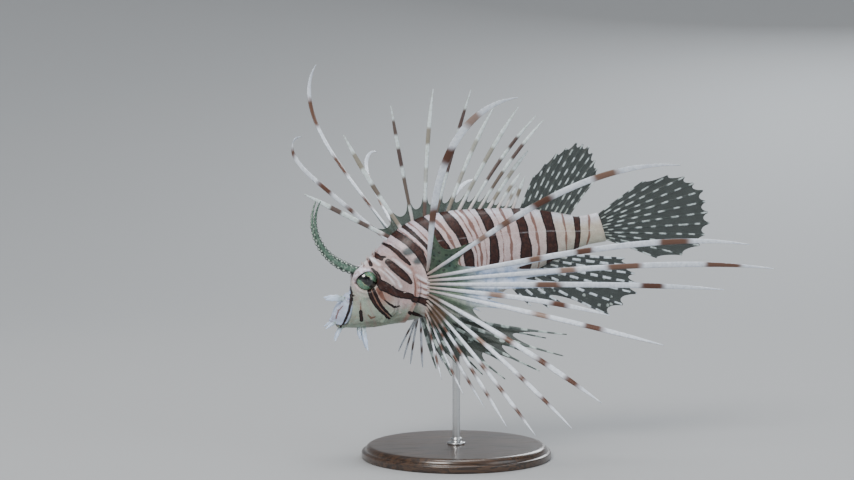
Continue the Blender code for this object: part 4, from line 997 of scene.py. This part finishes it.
def buildFins():
    made = {name: finMaterial("fin" + name.capitalize(), own) for name, own in finLooks.items()}
    smoke = flatTint(finColours["smoke"], 0.76)

    numbers = np.linspace(0, 1, dorsalSpines["rays"])
    length, root, tip, lean = perRay(dorsalSpines, "length", "root", "tip", "lean")
    buildFin("dorsalSpines", "dorsal_spines", dict(
        length=length, rise=(root, tip), out=(lean, lean), power=(1.5, 1), side=1, rows=84, inward=(0, 0, -1),
        root=backRoot(dorsalSpines["from"], dorsalSpines["to"]), at=numbers * (1.35 - 0.35 * numbers),
        web=(0.16,) * 12, notch=0.55, wide=bladed(1.4, 1.75, 0.3, 0.5, 0.7), thick=tapered(1.3, 1.1, 0.4),
        webThick=0.3, size=dorsalSpines["size"], bands=dorsalBands, tint=flatTint(finColours["dorsalWeb"], 0.72)),
        made["spines"])

    for name, node, table, rooted, look in (
            ("softDorsalFin", "soft_dorsal_fin", softDorsal, backRoot(99, 120), "spotted"),
            ("tailFin", "tail_fin", tailFin, tailRoot(5.4, -6.6), "spotted"),
            ("analFin", "anal_fin", analFin, bellyRoot(84, 113), "anal")):
        length, root, tip = perRay(table, "length", "root", "tip")
        buildFin(name, node, dict(
            length=length, rise=(root, tip), out=[0 * root + angle for angle in table["out"]], power=(1, 1), side=1,
            root=rooted, wide=tapered(*table["wide"]), thick=tapered(*table["thick"]), webThick=0.28, tint=smoke,
            bandShift=lambda ray: 0.3 * np.sin(table["sway"] * ray),
            **{key: table[key] for key in ("rows", "inward", "web", "notch", "split", "bandLength")}), made[look])

    for side, label, swing in ((1, "left", 0), (-1, "right", -6)):
        length, root, tip, out, outTip = perRay(pelvicFin, "length", "root", "tip", "out", "outTip")
        buildFin(f"{label}PelvicFin", f"{label}_pelvic_fin", dict(
            length=length, rise=(root + swing, tip + swing), out=(out, outTip), power=(1, 1), side=side, rows=80,
            inward=(0, 0, 1), root=bellyRoot(40, 47, side * 4.5), web=(0.75,) * 5, notch=0.2, split=0.4,
            wide=tapered(0.9, 1.5, 0.5), thick=tapered(1.5, 1.1, 0.4), webThick=0.3, webColumns=10, bandLength=8.0,
            bandShift=lambda ray: 0.31 * ray, tint=flatTint(finColours["pelvicWeb"], 0.72)), made["pelvic"])

    def toward(out, key, share):
        out[..., :3] += (np.array(finColours[key]) - out[..., :3]) * share[..., None]

    # near pectoral: bluish white webs between rays 3 and 7, spotted green ones above, smoky below
    def nearTint(number, alongMm):
        white = smooth(number, 1.6, 2.0) * (1 - smooth(number, 5.6, 6.6)) * smooth(alongMm, 14, 32)
        low = smooth(number, 6.2, 7.2)
        out = flatTint(finColours["greenWeb"], 0.82 + 0.14 * white - 0.16 * low)(number, alongMm)
        toward(out, "blueWhite", white)
        toward(out, "smoke", 0.7 * low)
        return out

    # the brown band of the cheek runs on over the roots of the lower rays
    def nearPatch(number, alongMm):
        upper = smooth(number, 6.4, 7.4) * (1 - smooth(number, 7.4, 8.4)) * (1 - smooth(alongMm, 6, 9))
        lower = smooth(number, 7.4, 8.6) * (1 - smooth(number, 11, 12.2))
        return 0.9 * np.maximum(upper, lower * smooth(alongMm, 3, 6) * (1 - smooth(alongMm, 13, 17)))

    def farTint(number, alongMm):
        out = flatTint(finColours["greenWeb"], 0.75)(number, alongMm)
        toward(out, "blueWhite", 0.35 * smooth(alongMm, 8, 25))
        return out

    def farPatch(number, alongMm):
        return 0 * number

    for side, label, fan, bands, tint, patch in ((1, "left", leftPectoral, leftBands, nearTint, nearPatch),
                                                 (-1, "right", rightPectoral, rightBands, farTint, farPatch)):
        length, root, tip, out, outTip, sweep = perRay(fan, "length", "root", "tip", "out", "outTip", "sweep")
        buildFin(f"{label}PectoralFin", f"{label}_pectoral_fin", dict(
            length=length, rise=(root, tip), out=(out, outTip), power=(sweep, fan["spread"]), side=side, rows=120,
            crowd=fan["crowd"], inward=(0, -side, 0), root=flankRoot(side, 47.5, 41.5, 7.3, -11), web=fan["web"],
            notch=0.3, wide=bladed(1.1, 2.5, 0.3, 0.4, fan["fall"]), thick=tapered(2.0, 1.1, 0.4, 0.2),
            webThick=0.3, webColumns=8, size=fan["size"], ridge=(-1, -0.8, -0.5, -0.2, 0, 0.2, 0.5, 0.8, 1),
            bands=bands, patch=patch, tint=tint), made["pectoral"])


# ---- brow tentacles, head spines and jaw flaps ----

tentacle = {
    "root": (19.1, 3.2, 15.9), "length": 45, "angles": (152, 44), "power": 1.15, "out": (8, 14), "width": 4.9,
    "thick": 1.2, "lobes": 17, "dark": (0.01, 0.024, 0.019), "middle": (0.075, 0.145, 0.105),
    "spot": (0.55, 0.65, 0.58), "steps": 150, "around": 24,
}


# A strip carried along a path: an oval section whose sides and thickness change along it.
def strip(path, wide, thick, flat, around):
    path, flat = np.asarray(path, float), np.asarray(flat, float)
    forward = np.gradient(path, axis=0)
    forward /= np.linalg.norm(forward, axis=1, keepdims=True)
    thinWay = flat - (forward * flat).sum(1, keepdims=True) * forward
    thinWay /= np.linalg.norm(thinWay, axis=1, keepdims=True)
    wideWay = np.cross(thinWay, forward)
    turn = np.linspace(0, 2 * np.pi, around, endpoint=False)
    wide, thick = (np.asarray(x, float)[:, None, None] / 2 for x in (wide, thick))
    return (path[:, None] + wideWay[:, None] * np.cos(turn)[None, :, None] * wide
            + thinWay[:, None] * np.sin(turn)[None, :, None] * thick), np.cos(turn)


def tentacleMaterial():
    look, own = Look("browTentacle", 0.4, Coat_Weight=0.3, Coat_Roughness=0.2), tentacle
    side = look.read("acrossShare").math("ABSOLUTE")
    base = look.mix(side.ramp(0.75, 0.35), own["dark"], own["middle"])
    base = look.mix(look.noise(1100, 4).ramp(0.5, 0.72), base, look.mix(0.35, base, own["spot"]))
    # a row of pale spots along each edge, one to a lobe
    wave = (look.read("lobe") * (2 * np.pi)).math("COSINE")
    row = side.ramp(0.5, 0.64) * side.ramp(0.88, 0.78)
    return look.done(look.mix(row * wave.ramp(0.35, 0.85), base, own["spot"]), look.noise(1500, 3), 0.4, 0.0003)


def buildTentacles():
    look, material = tentacle, tentacleMaterial()
    v = np.linspace(0, 1, look["steps"])
    for side, label in ((1, "left"), (-1, "right")):
        start = np.array(look["root"]) * (1, side, 1)
        lines, _ = rayLines(start[None], [look["length"]], [[a] for a in look["angles"]],
                            [[a] for a in look["out"]], (look["power"], 1), side)
        path = along(lines[0], v)
        lobe = v * look["lobes"]
        wide = eased(v, (0, 0.12, 0.35, 0.6, 1), np.array([0.75, 1, 0.85, 0.58, 0.1]) * look["width"])
        wide = wide * (0.86 + 0.16 * np.cos(2 * np.pi * lobe) * smooth(v, 0.05, 0.2))
        thick = eased(v, (0, 0.3, 1), np.array([1.3, 0.8, 0.3]) * look["thick"])
        rings, share = strip(path, wide, thick, (0, 1, 0.15), look["around"])
        grid = np.ones((len(v), look["around"]))
        piece = closedTube(rings, f"{label}BrowTentacle", material,
                           floats={"acrossShare": grid * share, "lobe": grid * lobe[:, None]})
        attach(piece, "root")
        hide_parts(f"{label}_brow_tentacle")
    print("brow tentacles")


# Each spine: station, height, length, then its heading along, out and up.
headSpines = ((21.2, 17, 2, 0, 0.35, 1), (23.8, 18.6, 2.4, 0.2, 0.3, 1), (26.8, 20.2, 2.2, 0.3, 0.25, 1),
              (28.6, 21.4, 1.5, 0.4, 0.25, 1), (12.4, 5, 0.9, -0.2, 1, 0.1), (14.5, 4.4, 0.8, 0.1, 1, 0),
              (18, 4.4, 0.8, 0.3, 1, 0), (26, 5.6, 0.8, 0.8, 1, 0), (29.5, 6.1, 1, 1, 0.9, 0),
              (32.5, 5.6, 1.1, 1, 0.9, 0),
              (33.5, 1.5, 1.3, 1, 0.9, -0.3), (32.5, -3, 1.2, 0.7, 0.9, -0.8), (29.5, -6.2, 1, 0.4, 0.8, -1),
              (40, 9, 1.4, 1, 0.6, 0.2), (31, 12.5, 0.8, 0.9, 0.8, 0.3), (33.5, 16, 0.8, 0.9, 0.7, 0.4))

# The hood over each eye: an arc round the eye's middle by angle in side view (90 is straight up), how far its
# middle line stands from the eye's middle, its width and its thickness.
hood = {
    "angles": (168, 140, 110, 80, 50, 20, -12), "reach": (5.6, 5.5, 5.3, 5.15, 5.0, 4.95, 4.9),
    "out": (6.6, 6.9, 7, 6.9, 6.6, 6.3, 6), "width": (1.2, 3.2, 4.2, 3.4, 1.9, 1.4, 0.7),
    "thick": (0.6, 1.1, 1.25, 1.15, 0.9, 0.8, 0.5), "steps": 60, "around": 20,
    "pale": (0.66, 0.64, 0.74), "shade": (0.36, 0.26, 0.27),
}

# Each flap: station, height, length, width, then its heading.
jawFlaps = ((8.6, 6, 10.5, 2.3, -1, 0.22, 0.42), (1.6, -2.6, 6.5, 1.4, -1, 0.35, -0.05),
            (3.6, -5.4, 7.5, 1.5, -0.8, 0.3, -0.55), (10.4, -8.2, 5, 1.4, -0.3, 0.3, -1),
            (12.6, -8.6, 10, 2, -0.3, 0.35, -1))

flapLook = {"pale": (0.45, 0.54, 0.6), "white": (0.62, 0.74, 0.95), "green": (0.16, 0.22, 0.17),
            "bone": (0.5, 0.42, 0.41), "boneShade": (0.3, 0.19, 0.17)}

# How deep the foot of a spine or flap is sunk in the skin.
footDepth = 0.8


def headPoint(s, h, side, raised=0.0):
    back, belly, _, mid = sectionAt(s)
    h = np.clip(h, mid + 0.97 * (belly - mid), mid + 0.97 * (back - mid))
    w = sideAt(s, h)
    return np.stack(np.broadcast_arrays(s, side * (w + relief(s, w, h, 0 * s) + raised), h), -1)


# Several strips joined into one piece, each closed on its own.
def joinedStrips(name, strips, material, floats):
    points, quads, triangles, quadUv, triangleUv, start = [], [], [], [], [], 0
    for k, rings in enumerate(strips):
        rows, around = rings.shape[:2]
        box = (k / len(strips), 0, (k + 0.95) / len(strips), 1)
        q, u = ringFaces(rows, around, start, box)
        first, firstUv = poleFaces(start, around, start + rows * around, (box[0], 0.0))
        last, lastUv = poleFaces(start + (rows - 1) * around, around, start + rows * around + 1, (box[0], 1.0))
        points += [rings.reshape(-1, 3), [rings[0].mean(0), rings[-1].mean(0)]]
        quads.append(q)
        quadUv.append(u)
        triangles += [first, last]
        triangleUv += [firstUv, lastUv]
        start += rows * around + 2
    faces, uv = ([np.concatenate(four), np.concatenate(three)]
                 for four, three in ((quads, triangles), (quadUv, triangleUv)))
    return addPiece(name, placed(np.concatenate(points)), faces, material, uv, floats)


def flapMaterial():
    look, own = Look("jawFlaps", 0.4, Coat_Weight=0.3, Coat_Roughness=0.2), flapLook
    base = look.mix(look.noise(800, 4).ramp(0.35, 0.65), own["green"], own["pale"])
    base = look.mix(look.read("tipward").ramp(0.05, 0.6), base, own["white"])
    return look.done(base, look.noise(1800, 3), 0.35, 0.0002)


def boneMaterial():
    look, own = Look("headSpines", 0.35, Coat_Weight=0.3, Coat_Roughness=0.15), flapLook
    base = look.mix(look.read("tipward").ramp(0.2, 0.75), own["boneShade"], own["bone"])
    base = look.mix(look.noise(1500, 3).ramp(0.5, 0.7), base, look.mix(0.5, base, own["boneShade"]))
    return look.done(base, look.noise(2500, 2), 0.2, 0.0002)


def hoodMaterial():
    look, own = Look("eyeHoods", 0.4, Coat_Weight=0.25, Coat_Roughness=0.25), hood
    base = look.mix(look.noise(700, 4).ramp(0.35, 0.7), own["pale"], own["shade"])
    base = look.mix(look.read("tipward").ramp(0.1, 0.5), look.mix(0.4, base, own["shade"]), base)
    return look.done(base, look.noise(2500, 3), 0.35, 0.00025)


def buildHoods():
    turn = np.linspace(hood["angles"][0], hood["angles"][-1], hood["steps"])
    reach, out, wide, thick = (eased(-turn, -np.array(hood["angles"], float), hood[key])
                               for key in ("reach", "out", "width", "thick"))
    hoods, tips, around = [], [], hood["around"]
    for side in (1, -1):
        c, d = np.cos(np.radians(turn)), np.sin(np.radians(turn))
        path = np.stack([eye["at"][0] + reach * c, side * out, eye["at"][2] + reach * d], -1)
        # the hood leans from the skin above the eye out over its edge
        flat = np.stack([0.8 * c, side * 0.6 + 0 * c, 0.8 * d], -1)
        hoods.append(strip(path, wide, thick, flat, around)[0])
        share = np.sin(np.pi * np.linspace(0, 1, hood["steps"]))[:, None] + np.zeros((1, around))
        tips.append(np.append(share.ravel(), [0, 0]))
    piece = joinedStrips("eyeHoods", hoods, hoodMaterial(), {"tipward": np.concatenate(tips)})
    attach(piece, "root")
    print("eye hoods")


def buildHeadExtras():
    spikes, flaps, spikeTips, flapTips = [], [], [], []
    for side in (1, -1):
        for s, h, length, alongS, out, up in headSpines:
            heading = np.array([alongS, side * out, up]) / np.linalg.norm([alongS, out, up])
            t = np.linspace(0, 1, 9)[:, None]
            # a cone bent a little backwards, its foot sunk in the skin
            path = headPoint(s, h, side, -footDepth) + heading * t * (length + footDepth)
            path = path + np.array([0.12, 0, 0]) * length * t**2
            size = (0.45 + 0.28 * length) * (1 - t[:, 0]) ** 0.8 + 0.08
            spikes.append(strip(path, size, size, (0.1, 0.2, 1.0), 12)[0])
            spikeTips.append(np.append((t + np.zeros((1, 12))).ravel(), [0, 1]))
        for s, h, length, wide, alongS, out, up in jawFlaps:
            heading = np.array([alongS, side * out, up]) / np.linalg.norm([alongS, out, up])
            t = np.linspace(0, 1, 40)[:, None]
            sag = np.array([0.12, 0, -0.1]) * length * t**2 + np.array([0, 0.35, 0.2]) * np.sin(5 * t) * t
            path = headPoint(s, h, side, -footDepth) + heading * t * (length + footDepth) + sag
            shape = eased(t[:, 0], (0, 0.35, 0.7, 1), (0.8, 1, 0.75, 0.2)) * (1 + 0.12 * np.sin(22 * t[:, 0]))
            flaps.append(strip(path, wide * shape, 0.55 * np.maximum(shape, 0.45), (0, 1, 0.1), 16)[0])
            flapTips.append(np.append((t + np.zeros((1, 16))).ravel(), [0, 1]))
    for name, strips, material, tips in (("headSpines", spikes, boneMaterial(), spikeTips),
                                         ("jawFlaps", flaps, flapMaterial(), flapTips)):
        piece = joinedStrips(name, strips, material, {"tipward": np.concatenate(tips)})
        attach(piece, "root")
    print("head spines and jaw flaps")


# ---- the stand ----

stand = {
    "radius": 44, "height": 6, "around": 160, "rodAround": 64, "rodRadius": 1.8, "collarRadius": 4.2,
    "collarHeight": 3, "woodDark": (0.022, 0.013, 0.009), "woodLight": (0.075, 0.04, 0.022),
    "steel": (0.62, 0.63, 0.64),
}


# A profile of (radius, height) turned round the upright axis: one ring for each of its points.
def turnedRings(profile, around):
    turn = np.linspace(0, 2 * np.pi, around, endpoint=False)
    radius, height = profile[:, :1], profile[:, 1:]
    return np.stack([radius * np.cos(turn), radius * np.sin(turn), height + 0 * turn], -1)


# A turned profile as a piece, closed on the axis at both ends.
def turnedPiece(name, profile, around, material):
    rings = turnedRings(profile, around)
    points = np.concatenate([rings.reshape(-1, 3), [[0, 0, profile[0, 1]], [0, 0, profile[-1, 1]]]]) * mm
    count = len(profile)
    quads, quadUv = ringFaces(count, around, 0, (0, 0.1, 1, 0.9))
    first, firstUv = poleFaces(0, around, count * around, (0.5, 0.0))
    last, lastUv = poleFaces((count - 1) * around, around, count * around + 1, (0.5, 1.0))
    return addPiece(name, points, [quads, np.concatenate([first, last])], material,
                    uv=[quadUv, np.concatenate([firstUv, lastUv])])


def arc(centre, radius, start, end, steps):
    a = np.radians(np.linspace(start, end, steps))
    return np.stack([centre[0] + radius * np.cos(a), centre[1] + radius * np.sin(a)], -1)


# Stained wood: rings of grain stretched along x, with pores and a satin polish.
def woodMaterial():
    look = Look("baseWood", 0.35, Coat_Weight=0.5, Coat_Roughness=0.15)
    grain = look.noise(1.6, 6, 0.6, look.place((6.0, 90.0, 90.0)))
    rings = (grain * 9.0).math("FRACT")
    base = look.mix(rings.ramp(0.1, 0.9), stand["woodDark"], stand["woodLight"])
    pore = look.noise(1.0, 2, 0.5, look.place((60.0, 1400.0, 1400.0))).ramp(0.6, 0.72)
    look.set(Roughness=pore.ramp(0.0, 1.0, 0.3, 0.5))
    return look.done(look.mix(pore * 0.6, base, stand["woodDark"]), rings * 0.3 - pore, 0.2, 0.0001)


# Steel brushed round the rod.
def steelMaterial():
    look = Look("rodSteel", Metallic=1.0)
    brushed = look.noise(1.0, 3, 0.6, look.place((200.0, 200.0, 6000.0)))
    look.set(Roughness=brushed.ramp(0.3, 0.7, 0.27, 0.37))
    return look.done(stand["steel"], brushed, 0.04, 0.00002)


def buildStand():
    form = stand
    wood, steel = woodMaterial(), steelMaterial()
    radius, height = form["radius"], form["height"]
    profile = np.concatenate([
        [[radius * 0.5, 0.0], [radius - 1.2, 0.0]], arc((radius - 0.7, 0.7), 0.7, -90, 0, 6), [[radius, 2.6]],
        arc((radius - 0.6, 2.7), 0.6, 0, 90, 6)[1:], [[radius - 1.6, 3.3]],
        arc((radius - 4.3, 3.3), 2.7, 0, 90, 12)[1:], [[radius - 6, height], [radius * 0.5, height]]])
    base = turnedPiece("standBase", profile, form["around"], wood)
    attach(base, "root")
    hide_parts("stand_base")
    rod, top, collar = form["rodRadius"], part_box("stand_rod")[1].z / mm, height + form["collarHeight"]
    collarRadius = form["collarRadius"]
    profile = np.concatenate([
        [[rod, height - 0.2], [collarRadius, height - 0.2]], arc((collarRadius - 0.4, height + 0.6), 0.4, 0, 90, 5),
        arc((collarRadius - 1.2, height + 1.9), 0.9, -90, -180, 6), [[rod + 0.9, collar - 0.3]],
        arc((rod + 0.6, collar - 0.3), 0.3, 0, 90, 5), [[rod, collar + 0.02]],
        np.stack([np.full(30, rod), np.linspace(collar + 0.3, top - 0.5, 30)], -1), [[rod - 0.3, top]]])
    piece = turnedPiece("standRod", profile, form["rodAround"], steel)
    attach(piece, "root")
    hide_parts("stand_rod")
    print("stand")


# ---- floor, light and camera ----

studio = {
    "around": 96, "floorRadius": 0.7, "cove": 2.6, "wall": 4.0, "paper": (0.37, 0.38, 0.39),
    "world": (0.75, 0.8, 0.86), "worldStrength": 0.6,
    "camera": (-0.12554, -0.7954, 0.14315), "aim": (-0.01435, -0.00427, 0.10128), "lens": 73.5, "sensor": 36,
}

# Each light: place, size, watts, colour. All point at the fish.
lights = {
    "key": ((-0.9, -1.3, 1.5), 0.9, 40, (1, 0.97, 0.93)),
    "fill": ((1.3, -1.0, 0.6), 1.2, 8, (0.9, 0.95, 1)),
    "top": ((0.1, 0.2, 1.9), 1.0, 22, (1, 1, 1)),
    "rear": ((0.8, 1.5, 0.9), 0.8, 12, (0.92, 0.96, 1)),
}


# A light or camera as an object that looks at the fish.
def aimed(name, data, place):
    holder = bpy.data.objects.new(name, data)
    holder.location = place
    holder.rotation_euler = (Vector(studio["aim"]) - Vector(place)).to_track_quat("-Z", "Y").to_euler()
    bpy.context.scene.collection.objects.link(holder)
    return holder


def buildStudio():
    # a round sweep: flat floor, a quarter circle, then a wall, turned round the upright axis
    profile = np.concatenate([[[0.0, 0.0], [studio["floorRadius"], 0.0]],
                              arc((studio["floorRadius"], studio["cove"]), studio["cove"], -90, 0, 48)[1:],
                              [[studio["floorRadius"] + studio["cove"], studio["wall"]]]])
    around = studio["around"]
    points = np.concatenate([turnedRings(profile[1:], around).reshape(-1, 3), [[0, 0, 0]]])
    quads, _ = ringFaces(len(profile) - 1, around)
    first, _ = poleFaces(0, around, len(points) - 1)
    look = Look("paperSweep", 0.85)
    shade = look.noise(0.6, 2).ramp(0.3, 0.7, 0.96, 1.0)
    grey = look.add("ShaderNodeCombineColor", {0: shade, 1: shade, 2: shade})
    look.set(Base_Color=look.mix(1.0, studio["paper"], grey, "MULTIPLY"))
    floor = addPiece("floorSweep", points, [quads, first[:, ::-1]], look.material)
    world = bpy.data.worlds.new("studioAir")
    world.use_nodes = True
    world.node_tree.nodes["Background"].inputs[0].default_value = (*studio["world"], 1)
    world.node_tree.nodes["Background"].inputs[1].default_value = studio["worldStrength"]
    bpy.context.scene.world = world
    for name, (place, size, watts, colour) in lights.items():
        lamp = bpy.data.lights.new(name, "AREA")
        lamp.shape, lamp.size, lamp.energy, lamp.color = "DISK", size, watts, colour
        aimed(name, lamp, place)
    view = bpy.data.cameras.new("camera")
    view.lens, view.sensor_width, view.clip_start, view.clip_end = studio["lens"], studio["sensor"], 0.01, 30
    bpy.context.scene.camera = aimed("camera", view, studio["camera"])
    print("studio")


buildSkin(skinMaterial())
buildEyes(eyeMaterial())
buildFins()
buildTentacles()
buildHoods()
buildHeadExtras()
buildStand()
buildStudio()
